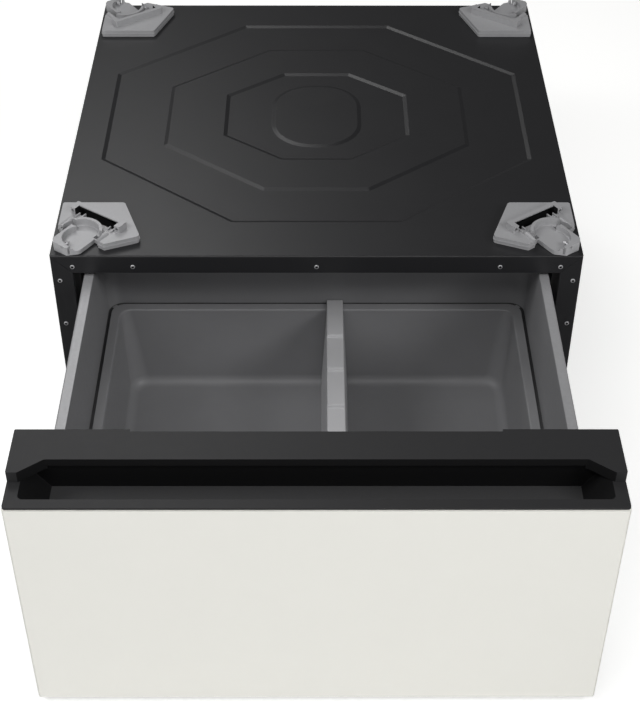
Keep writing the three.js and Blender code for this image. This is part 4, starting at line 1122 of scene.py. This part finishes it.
def in_recess(place):
    """A test for a screw's recess, which gets painted shade."""
    to_screw = place.inverted()

    def belongs(centre, normal):
        point = to_screw @ centre
        deep = CROSS_FLOOR - 0.2 < point.z < HEAD_TOP - 0.1
        return deep and math.hypot(point.x, point.y) < DISH_RADIUS + 0.3

    return belongs


def foot_mesh(node, steps):
    """A rubber pad, a hexagon and a threaded stem."""
    low, high = span(node)
    place = shift((low.x + high.x) / 2, (low.y + high.y) / 2)
    height = high.z
    side = [(0.5, 0), (18.5, 0), (20, 1.5), (20, 4), (12.5, 7.6), (12.5, 9), (0.5, 9)]
    pad = rounded(side, [0, 0.5, 0.5, 1, 0.5, 0.5, 0], 3)
    stem = [(0.5, 8)]
    for ring in range(int((height - 10) / STEM_PITCH)):
        stem += [(STEM_ROOT, 9 + ring * STEM_PITCH), (STEM_CREST, 9 + (ring + 0.5) * STEM_PITCH)]
    stem += [(4.2, height - 0.8), (3.6, height), (0.5, height)]
    hexagon = rounded([(0.5, 7.4), (8.2, 7.4), (8.2, 11), (0.5, 11)], [0, 0.5, 0.5, 0], 2)
    above = [turned(hexagon, 6), turned(stem, steps // 2)]
    return carved(moved(turned(pad, steps), place), *[("UNION", moved(s, place)) for s in above])


def bumper_shape(node, steps):
    """A round rubber button whose outer edge is eased."""
    low, high = span(node)
    middle = (low + high) / 2
    radius, depth = (high.x - low.x) / 2, high.y - low.y
    side = [(0.3, 0), (radius, 0), (radius - 0.5, depth), (0.3, depth)]
    place = shift(middle.x, high.y, middle.z) @ turn(90, "X")
    return moved(turned(rounded(side, [0, 0.1, 0.5, 0], 4), steps), place)


class PEDESTAL_OT_fasteners(bpy.types.Operator):
    """Turn the flange screws, the levelling feet and the bumpers."""

    bl_idname = "pedestal.fasteners"
    bl_label = "Screws, feet and bumpers"

    def execute(self, context):
        steps = context.scene.pedestal_sizes.round_steps
        screw = flange_screw_mesh(steps)
        for index, (node, x, z) in enumerate(flange_screw_places()):
            # The crosses stop at angles that don't repeat from screw to screw.
            place = shift(x, 0, z) @ turn(90, "X") @ turn(17 + 29 * index)
            piece = restyle(node, mirrored(screw, place), smooth=30)
            # The screw's recess gets painted shade.
            paint_faces(piece, painted_shade_abs, in_recess(place))
        for row in ("front", "back"):
            for side in SIDES:
                node = f"levelling_foot_{row}_{side}"
                restyle(node, foot_mesh(node, steps), smooth=30)
        for side in SIDES:
            restyle(f"bumper_{side}", bumper_shape(f"bumper_{side}", steps))
        return {"FINISHED"}


# ---------------------------------------------------------------- drawer box and slides

# Each slide member, and whether its web is on its outer side.
SLIDE_MEMBERS = {"slide_outer": True, "slide_middle": True, "slide_inner": False}
SLIDE_FOLD = 1.6
# The fixing slots' places, as shares of a member's length, and their half length and half height.
FIXING_PLACES = (0.06, 0.3, 0.6, 0.9)
FIXING_REACH, FIXING_HALF, FIXING_CORNER = 9, 2.6, 2.5
# The hem along the drawer sides' tops: its width, and how far it is folded down.
HEM_WIDTH, HEM_DROP = 9.6, 22


def slide_mesh(node, web_outside, sheet):
    """A slide member: a channel with rolled corners and fixing slots, its web on one side."""
    low, high = span(node)
    t = sheet / 2
    web, lip = (high.x - t, low.x) if web_outside else (low.x + t, high.x)
    line = [(lip, low.z + t), (web, low.z + t), (web, high.z - t), (lip, high.z - t)]
    if not web_outside:
        line = line[::-1]
    middle = (low.z + high.z) / 2
    heights = (middle - FIXING_HALF, middle + FIXING_HALF)
    slots = []
    for share in FIXING_PLACES:
        y = low.y + (high.y - low.y) * share
        slot = rounded_rectangle(y - FIXING_REACH, y + FIXING_REACH, *heights, FIXING_CORNER, 5)
        slots.append(along_x(slot, low.x - 3, high.x + 3))
    return carved(along_y(folded(line, sheet, SLIDE_FOLD, 4), low.y, high.y), *cut(slots))


class PEDESTAL_OT_slides(bpy.types.Operator):
    """Roll the members of the telescopic slides."""

    bl_idname = "pedestal.slides"
    bl_label = "Telescopic slides"

    def execute(self, context):
        sheet = millimetres(context.scene.pedestal_sizes.sheet)
        for stem, web_outside in SLIDE_MEMBERS.items():
            restyle_pair(stem, slide_mesh(f"{stem}_right", web_outside, sheet))
        return {"FINISHED"}


class PEDESTAL_OT_drawer_sides(bpy.types.Operator):
    """Fold the drawer's sides with their deep top hems."""

    bl_idname = "pedestal.drawer_sides"
    bl_label = "Drawer sides"

    def execute(self, context):
        sizes = context.scene.pedestal_sizes
        sheet, fold = millimetres(sizes.sheet), millimetres(sizes.fold)
        low, high = span("drawer_side_right")
        t = sheet / 2
        hem = high.x - HEM_WIDTH
        line = [
            (low.x, low.z + t),
            (high.x - t, low.z + t),
            (high.x - t, high.z - t),
            (hem + t, high.z - t),
            (hem + t, high.z - HEM_DROP),
        ]
        shape = along_y(folded(line, sheet, fold), low.y, high.y)
        # The hem's top runs on over the bin's rim, to the inside of the bin's wall.
        rim = span("bin")[1]
        over_rim = rim.x - millimetres(sizes.bin_wall) + GAP
        cover = box(over_rim, hem + fold, low.y, high.y, high.z - sheet, high.z)
        restyle_pair("drawer_side", carved(shape, ("UNION", cover)))
        return {"FINISHED"}


# ---------------------------------------------------------------- bin and divider

BIN_LEDGE_OUTER = 4.5
BIN_LEDGE_INNER = 21.5
BIN_LEDGE_DROP = 100
BIN_GROOVE_WIDTH = 3.8
BIN_GROOVE_DEPTH = 1.8
BIN_FOOT = 27.5
BIN_FLOOR_ROUND = 14
# Corner radius of the bin's plan at each inset from its rim.
BIN_CORNERS = ((-5, 20), (4.5, 20), (21.5, 14), (27.5, 26), (41.5, 12), (60, 5))


def bin_corner(inset):
    """The bin's corner radius at an inset, between those given."""
    for (x0, r0), (x1, r1) in zip(BIN_CORNERS, BIN_CORNERS[1:]):
        if inset <= x1:
            return r0 + (r1 - r0) * (inset - x0) / (x1 - x0)
    return BIN_CORNERS[-1][1]


def bin_levels(wall, grooved):
    """The bin's inner face as (inset, height) from its rim to its floor."""
    low, high = span("bin")
    floor = low.z + wall
    ledge = high.z - BIN_LEDGE_DROP
    groove = BIN_LEDGE_OUTER + BIN_GROOVE_WIDTH
    corner, radii = [(BIN_LEDGE_OUTER, ledge)], [1.5]
    if grooved:
        corner = [(BIN_LEDGE_OUTER, ledge - BIN_GROOVE_DEPTH), (groove, ledge - BIN_GROOVE_DEPTH)]
        corner.append((groove + 0.4, ledge))
        radii = [0.5, 0.4, 0.5]
    foot = [(BIN_LEDGE_INNER, ledge), (BIN_FOOT, floor), (BIN_FOOT + 30, floor)]
    line = [(0, high.z - 3), *corner, *foot]
    return rounded(line, [0, *radii, 2.5, BIN_FLOOR_ROUND, 0], 6, False)[:-1]


def in_groove(centre, normal):
    """A test for the faces of the groove round the bin's ledge."""
    low, high = span("bin")
    ledge = high.z - BIN_LEDGE_DROP
    inset = min(high.x - abs(centre.x), centre.y - low.y, high.y - centre.y)
    deep = ledge - BIN_GROOVE_DEPTH - 0.2 < centre.z < ledge - 0.2
    return deep and inset < BIN_LEDGE_OUTER + 8 and normal.z > 0.3


def bin_shape(wall):
    """The bin: its inner face from the floor up, over its rim and down its outer face."""
    low, high = span("bin")
    inner = bin_levels(wall, True)
    outer = offset(bin_levels(wall, False), -wall)
    outer = [(inset, max(z, low.z)) for inset, z in outer]
    rim = [inner[0], (0, high.z), (-wall, high.z), outer[0]]
    path = inner[::-1] + rounded(rim, [0, 1.2, 1.2, 0], 4, False)[1:-1] + outer
    rings = []
    for inset, z in path:
        edge = wall + inset
        radius = bin_corner(inset) if inset > -0.1 else bin_corner(0) - inset
        outline = rounded_rectangle(low.x + edge, high.x - edge, low.y + edge, high.y - edge, radius, 8)
        rings.append([(x, y, z) for x, y in outline])
    return lofted(rings)


# The divider's steps down towards the front: their places from its back, their fall and their run.
DIVIDER_STEPS, DIVIDER_DROP, DIVIDER_RUN = (80, 143, 210), 3.5, 2.5
# Its half width at the foot and at the top, its wall, and the thickness of its tongues.
DIVIDER_FOOT, DIVIDER_TIP, DIVIDER_WALL, TONGUE = 18.5, 11, 2.4, 4
# The chamfer at each end of its foot, and its clearance from the bin.
DIVIDER_CHAMFER, DIVIDER_GAP = 12, 1


def divider_mesh(wall):
    """The divider: a drafted hollow wall whose tongues lie on the bin's ledge."""
    low, high = span("bin_divider")
    bin_low, bin_high = span("bin")
    middle = (low.x + high.x) / 2
    back, front = bin_high.y - wall, bin_low.y + wall
    foot, tip, gap, chamfer = DIVIDER_FOOT, DIVIDER_TIP, DIVIDER_GAP, DIVIDER_CHAMFER
    top, tongue = high.z, high.z - TONGUE
    side = [
        (front + BIN_FOOT + chamfer + gap, low.z),
        (back - BIN_FOOT - chamfer - gap, low.z),
        (back - BIN_FOOT - gap, low.z + chamfer),
        (back - BIN_LEDGE_INNER - gap, tongue),
        (back - BIN_LEDGE_OUTER - gap, tongue),
        (back - BIN_LEDGE_OUTER - gap, top),
    ]
    for index, from_back in enumerate(DIVIDER_STEPS):
        side.append((back - from_back, top - index * DIVIDER_DROP))
        side.append((back - from_back - DIVIDER_RUN, top - (index + 1) * DIVIDER_DROP))
    last = top - len(DIVIDER_STEPS) * DIVIDER_DROP
    rise = front + BIN_LEDGE_INNER + 20
    side += [(rise, last), (rise - 12, top), (front + BIN_LEDGE_OUTER + gap, top)]
    side += [(front + BIN_LEDGE_OUTER + gap, tongue), (front + BIN_LEDGE_INNER + gap, tongue)]
    side.append((front + BIN_FOOT + gap, low.z + chamfer))
    section = [
        (middle - foot, low.z - 1),
        (middle + foot, low.z - 1),
        (middle + tip, top + 1),
        (middle - tip, top + 1),
    ]
    hollow = [
        (middle - foot + DIVIDER_WALL, low.z - 2),
        (middle + foot - DIVIDER_WALL, low.z - 2),
        (middle + tip - DIVIDER_WALL, last - 3),
        (middle - tip + DIVIDER_WALL, last - 3),
    ]
    inside = (front + BIN_FOOT + 18, back - BIN_FOOT - 18)
    return carved(
        along_x(side, low.x - 5, high.x + 5),
        ("INTERSECT", along_y(section, front, back)),
        ("DIFFERENCE", along_y(hollow, *inside)),
    )


class PEDESTAL_OT_bin(bpy.types.Operator):
    """Mould the bin and its divider."""

    bl_idname = "pedestal.bin"
    bl_label = "Bin and divider"

    def execute(self, context):
        wall = millimetres(context.scene.pedestal_sizes.bin_wall)
        # The groove round the bin's ledge gets painted shade.
        paint_faces(restyle("bin", bin_shape(wall), smooth=60), shaded_polypropylene, in_groove)
        divider = restyle("bin_divider", divider_mesh(wall), edge=1.6, segments=4)
        divider.data.materials[0] = made_by(pale_polypropylene)
        return {"FINISHED"}


# ---------------------------------------------------------------- drawer front


def front_panel_shape(sizes):
    """The enamelled front: a shallow tray with a chamfer round its face."""
    low, high = span("front_panel")
    chamfer = millimetres(sizes.panel_chamfer)
    skin = millimetres(sizes.sheet)
    depth = high.y - low.y
    inner_chamfer = chamfer + 0.5
    face_line = [(0, depth), (0, chamfer), (chamfer, 0), (30, 0)]
    back_line = [(skin, depth), (skin, inner_chamfer), (inner_chamfer, skin), (30, skin)]
    outer = rounded(face_line, [0, 0.8, 0.8, 0], 4, False)[:-1]
    inner = rounded(back_line, [0, 0.4, 0.4, 0], 3, False)[:-1]
    rings = []
    for inset, back in inner[::-1] + outer:
        outline = rounded_rectangle(
            low.x + inset, high.x - inset, low.z + inset, high.z - inset, max(0.4, 2.6 - inset), 4
        )
        rings.append([(x, low.y + back, z) for x, z in outline])
    return lofted(rings)


TRIM_WALL = 3
LEDGE_THICKNESS = 3
# The bar's face lies this far in front of the trim's back, at its ends and along its middle,
# and slants between the two from one to the other of these insets from the cabinet's sides.
BAR_END_REACH, BAR_MIDDLE_REACH = 68.2, 48
BAR_SLANT_OUTER, BAR_SLANT_INNER = 14, 41
# The finger pocket: its front edge behind the panel's face, its reach in under the bar, its
# depth, the insets of its ends at the mouth and at the floor, and its front wall's lean.
POCKET_LIP, POCKET_UNDER_BAR, POCKET_DEPTH = 12.8, 8, 36
POCKET_MOUTH_INSET, POCKET_FLOOR_INSET, POCKET_LEAN = 16, 43, 3
# The notch in the trim's back: the inset of its ends, and its depth.
NOTCH_INSET, NOTCH_DEPTH = 132, 3.6
REAR_WALL_DROP = 28
BAR_SLOT_ROOF = 10


def ledge_height():
    """The height of the ledge's top, over the front panel's edge."""
    return span("front_panel")[1].z + GAP + LEDGE_THICKNESS


def pocket_shape(grow):
    """The finger pocket's space, flat on its floor, or grown by its walls' thickness."""
    low, high = span("handle_trim")
    mouth = ledge_height()
    back = high.y - BAR_MIDDLE_REACH + POCKET_UNDER_BAR + grow
    front = low.y + POCKET_LIP
    rings = []
    for inset, near, z, scale in (
        (POCKET_FLOOR_INSET, front + POCKET_LEAN, mouth - POCKET_DEPTH - grow, 0.25),
        (POCKET_MOUTH_INSET, front, mouth, 1),
    ):
        half, near = HALF_WIDTH - inset + grow, near - grow
        corners = [(half, back), (-half, back), (-half, near), (half, near)]
        radii = [2 * scale, 2 * scale, 6 * scale, 6 * scale]
        rings.append([(x, y, z) for x, y in rounded(corners, radii, 5)])
    return lofted(rings)


def bar_shape():
    """The handle's bar, whose face stands forward at both ends."""
    low, high = span("handle_trim")
    half, back = high.x, high.y
    ends, middle = back - BAR_END_REACH, back - BAR_MIDDLE_REACH
    outer, inner = HALF_WIDTH - BAR_SLANT_OUTER, HALF_WIDTH - BAR_SLANT_INNER
    plan = [(half, ends), (half, back), (-half, back), (-half, ends)]
    plan += [(-outer, ends), (-inner, middle), (inner, middle), (outer, ends)]
    return prism(rounded(plan, [1.5, 1.5, 1.5, 1.5, 2.5, 4, 4, 2.5], 4), low.z, high.z)


def handle_mesh():
    """The handle trim: a bar over a finger pocket, with a ledge that caps the panel."""
    low, high = span("handle_trim")
    half, face, back, top = high.x, low.y, high.y, high.z
    wall, ledge_top = TRIM_WALL, ledge_height()
    ledge_low = ledge_top - LEDGE_THICKNESS
    bar_middle = back - BAR_MIDDLE_REACH
    pocket_back = bar_middle + POCKET_UNDER_BAR
    mouth_half, floor_half = HALF_WIDTH - POCKET_MOUTH_INSET, HALF_WIDTH - POCKET_FLOOR_INSET
    notch_half, rear = HALF_WIDTH - NOTCH_INSET, back - NOTCH_DEPTH
    # Beyond the trim at each side, and below it.
    wide, deep = 400, low.z - 5
    ledge = [(half, back - wall), (-half, back - wall), (-half, face), (half, face)]
    ledge = prism(rounded(ledge, [0.5, 0.5, 3.5, 3.5], 5), ledge_low, ledge_top)
    # Under the ledge only the pocket's walls stay, and what is behind them.
    ends = box(-wide, wide, face - 1, back + 1, deep, ledge_low)
    keep = box(-mouth_half, mouth_half, pocket_back - 1, back + 2, deep - 5, ledge_low + 1)
    waste = [
        box(-notch_half, notch_half, rear, back + 1, deep, top + 1),
        box(wall - half, half - wall, pocket_back + wall, rear - wall, deep, top - wall),
        box(-wide, wide, rear - wall - 1, back + 1, deep, top - REAR_WALL_DROP),
        carved_shape(ends, *cut([pocket_shape(wall), keep])),
        moved(pocket_shape(0), shift(0, 0, 0.02)),
        box(-floor_half, floor_half, bar_middle - 1, pocket_back, ledge_top - 1, top - BAR_SLOT_ROOF),
    ]
    return carved(bar_shape(), ("UNION", ledge), ("UNION", pocket_shape(wall)), *cut(waste))


def shade_pocket(handle):
    """Paints shade on the bar's front and the finger pocket's walls, and paints light on the pocket's
    floor.
    """
    low, high = span("handle_trim")
    ledge_top = ledge_height()
    ends = HALF_WIDTH - 12.5
    bar_ends, pocket_back = high.y - 69, high.y - BAR_MIDDLE_REACH + POCKET_UNDER_BAR

    def is_floor(centre, normal):
        inside = abs(centre.x) < ends - 8 and low.y + 8 < centre.y < pocket_back + 5
        level = normal.z > 0.9 and abs(normal.x) < 0.3
        return inside and level and centre.z < ledge_top - 1

    def is_dark(centre, normal):
        if abs(centre.x) > ends:
            return False
        bar_front = normal.y < -0.3 and bar_ends < centre.y < pocket_back + 2
        end_wall = abs(normal.x) > 0.5 and ledge_top - POCKET_DEPTH < centre.z < ledge_top
        return bar_front or end_wall

    # Painted shade on the bar's front and the pocket's walls.
    paint_faces(handle, painted_shade_abs, is_dark)
    # Painted light on the pocket's floor.
    paint_faces(handle, painted_light_pocket_floor, is_floor)


class PEDESTAL_OT_drawer_front(bpy.types.Operator):
    """Form the front panel and mould the handle trim."""

    bl_idname = "pedestal.drawer_front"
    bl_label = "Drawer front"

    def execute(self, context):
        sizes = context.scene.pedestal_sizes
        restyle("front_panel", front_panel_shape(sizes), smooth=50)
        shade_pocket(restyle("handle_trim", handle_mesh(), edge=millimetres(sizes.trim_edge)))
        return {"FINISHED"}


# ---------------------------------------------------------------- everything else


class PEDESTAL_OT_plain_nodes(bpy.types.Operator):
    """Finish every CAD node that no piece replaces."""

    bl_idname = "pedestal.plain_nodes"
    bl_label = "Rails, brackets, floor and end caps"

    def execute(self, context):
        for node, piece in frame["nodes"].items():
            if not piece.hide_render:
                soften(node)
        return {"FINISHED"}


class PEDESTAL_OT_stage(bpy.types.Operator):
    """Add the floor, the lights and the photograph's camera."""

    bl_idname = "pedestal.stage"
    bl_label = "Add the studio"

    def execute(self, context):
        add_floor()
        add_lights()
        add_camera()
        return {"FINISHED"}


FLOOR_REACH, FLOOR_LOW, FLOOR_TOP = 12000, -20, -0.1
WORLD_STRENGTH = 0.1


def add_floor():
    """A wide slab whose face lies a hair under the feet."""
    reach = FLOOR_REACH
    mesh = mesh_of(box(-reach, reach, -reach, reach, FLOOR_LOW, FLOOR_TOP))
    floor = bpy.data.objects.new("studio_floor", mesh)
    bpy.context.scene.collection.objects.link(floor)
    floor.data.materials.append(finish("floor"))
    # The photograph's ground doesn't mirror in the black flanges, so gloss doesn't see it.
    floor.visible_glossy = False


def add_light(name, place, target, width, height, power):
    """A white rectangular lamp, in metres and watts, that the camera doesn't see."""
    light = bpy.data.lights.new(name, "AREA")
    light.shape = "RECTANGLE"
    light.size = width
    light.size_y = height
    light.energy = power
    lamp = bpy.data.objects.new(name, light)
    lamp.visible_camera = False
    bpy.context.scene.collection.objects.link(lamp)
    lamp.location = place
    aim = Vector(target) - Vector(place)
    lamp.rotation_euler = aim.to_track_quat("-Z", "Y").to_euler()


def add_lights():
    """The studio's faint white air and its six lamps."""
    world = bpy.data.worlds.new("studio_air")
    bpy.context.scene.world = world
    world.use_nodes = True
    air = world.node_tree.nodes["Background"]
    air.inputs["Color"].default_value = linear("#FFFFFF")
    air.inputs["Strength"].default_value = WORLD_STRENGTH
    add_light("behind_left", (-0.8, 2.0, 2.55), (0, 0.1, 0.38), 1.2, 1.2, 13)
    add_light("overhead", (-0.5, 1.2, 3.0), (-0.1, 0.2, 0.38), 1.2, 0.8, 6)
    add_light("strip_above_front", (-0.6, -2.1, 2.9), (0, -0.2, 0.3), 3.0, 0.4, 26)
    add_light("near_left", (-1.1, -0.4, 1.4), (0, 0, 0.38), 0.5, 0.5, 6)
    add_light("right_fill", (2.0, -1.4, 2.0), (0, -0.1, 0.3), 1.0, 1.0, 24)
    add_light("front_fill", (-0.8, -4.2, 0.9), (0, 0, 0.2), 4.0, 1.2, 31)


def add_camera():
    """The camera stands where the fit to the photograph puts it."""
    camera = bpy.data.cameras.new("photo_camera")
    camera.sensor_fit = "AUTO"
    camera.sensor_width = SENSOR_WIDTH
    camera.lens = FOCAL_PIXELS / max(PHOTO_WIDTH, PHOTO_HEIGHT) * SENSOR_WIDTH
    camera.clip_end = 100
    pitch, roll = CAMERA_PITCH, CAMERA_ROLL
    heading = Matrix.Rotation(CAMERA_YAW, 3, "Z")
    ahead = heading @ Vector((0, math.cos(pitch), -math.sin(pitch)))
    level_up = heading @ Vector((0, math.sin(pitch), math.cos(pitch)))
    level_right = heading @ Vector((1, 0, 0))
    right = math.cos(roll) * level_right + math.sin(roll) * level_up
    up = math.cos(roll) * level_up - math.sin(roll) * level_right
    basis = Matrix((right, up, -ahead)).transposed()
    stand = bpy.data.objects.new("photo_camera", camera)
    bpy.context.scene.collection.objects.link(stand)
    stand.matrix_world = Matrix.Translation(CAMERA_PLACE) @ basis.to_4x4()
    bpy.context.scene.camera = stand
    bpy.context.scene.view_settings.view_transform = "Standard"


OPERATORS = (
    PEDESTAL_OT_top_panel,
    PEDESTAL_OT_side_panels,
    PEDESTAL_OT_back_panel,
    PEDESTAL_OT_clamps,
    PEDESTAL_OT_fasteners,
    PEDESTAL_OT_slides,
    PEDESTAL_OT_drawer_sides,
    PEDESTAL_OT_bin,
    PEDESTAL_OT_drawer_front,
    PEDESTAL_OT_plain_nodes,
    PEDESTAL_OT_stage,
)


class PEDESTAL_PT_panel(bpy.types.Panel):
    """Sizes, colours and build steps of the pedestal."""

    bl_label = "Washer Pedestal"
    bl_idname = "PEDESTAL_PT_panel"
    bl_space_type = "VIEW_3D"
    bl_region_type = "UI"
    bl_category = "Pedestal"

    def draw(self, context):
        for group in (context.scene.pedestal_sizes, context.scene.pedestal_colours):
            column = self.layout.column()
            for name in group.bl_rna.properties.keys():
                if name not in ("rna_type", "name"):
                    column.prop(group, name)
        for operator in OPERATORS:
            self.layout.operator(operator.bl_idname)


CLASSES = (PedestalSizes, PedestalColours, *OPERATORS, PEDESTAL_PT_panel)


def register():
    """Add the classes, and the user's settings to the scene."""
    for kind in CLASSES:
        bpy.utils.register_class(kind)
    bpy.types.Scene.pedestal_sizes = PointerProperty(type=PedestalSizes)
    bpy.types.Scene.pedestal_colours = PointerProperty(type=PedestalColours)


def unregister():
    del bpy.types.Scene.pedestal_colours
    del bpy.types.Scene.pedestal_sizes
    for kind in reversed(CLASSES):
        bpy.utils.unregister_class(kind)


def main():
    """Build everything in order."""
    register()
    for operator in OPERATORS:
        group, name = operator.bl_idname.split(".")
        getattr(getattr(bpy.ops, group), name)()


if __name__ == "__main__":
    main()
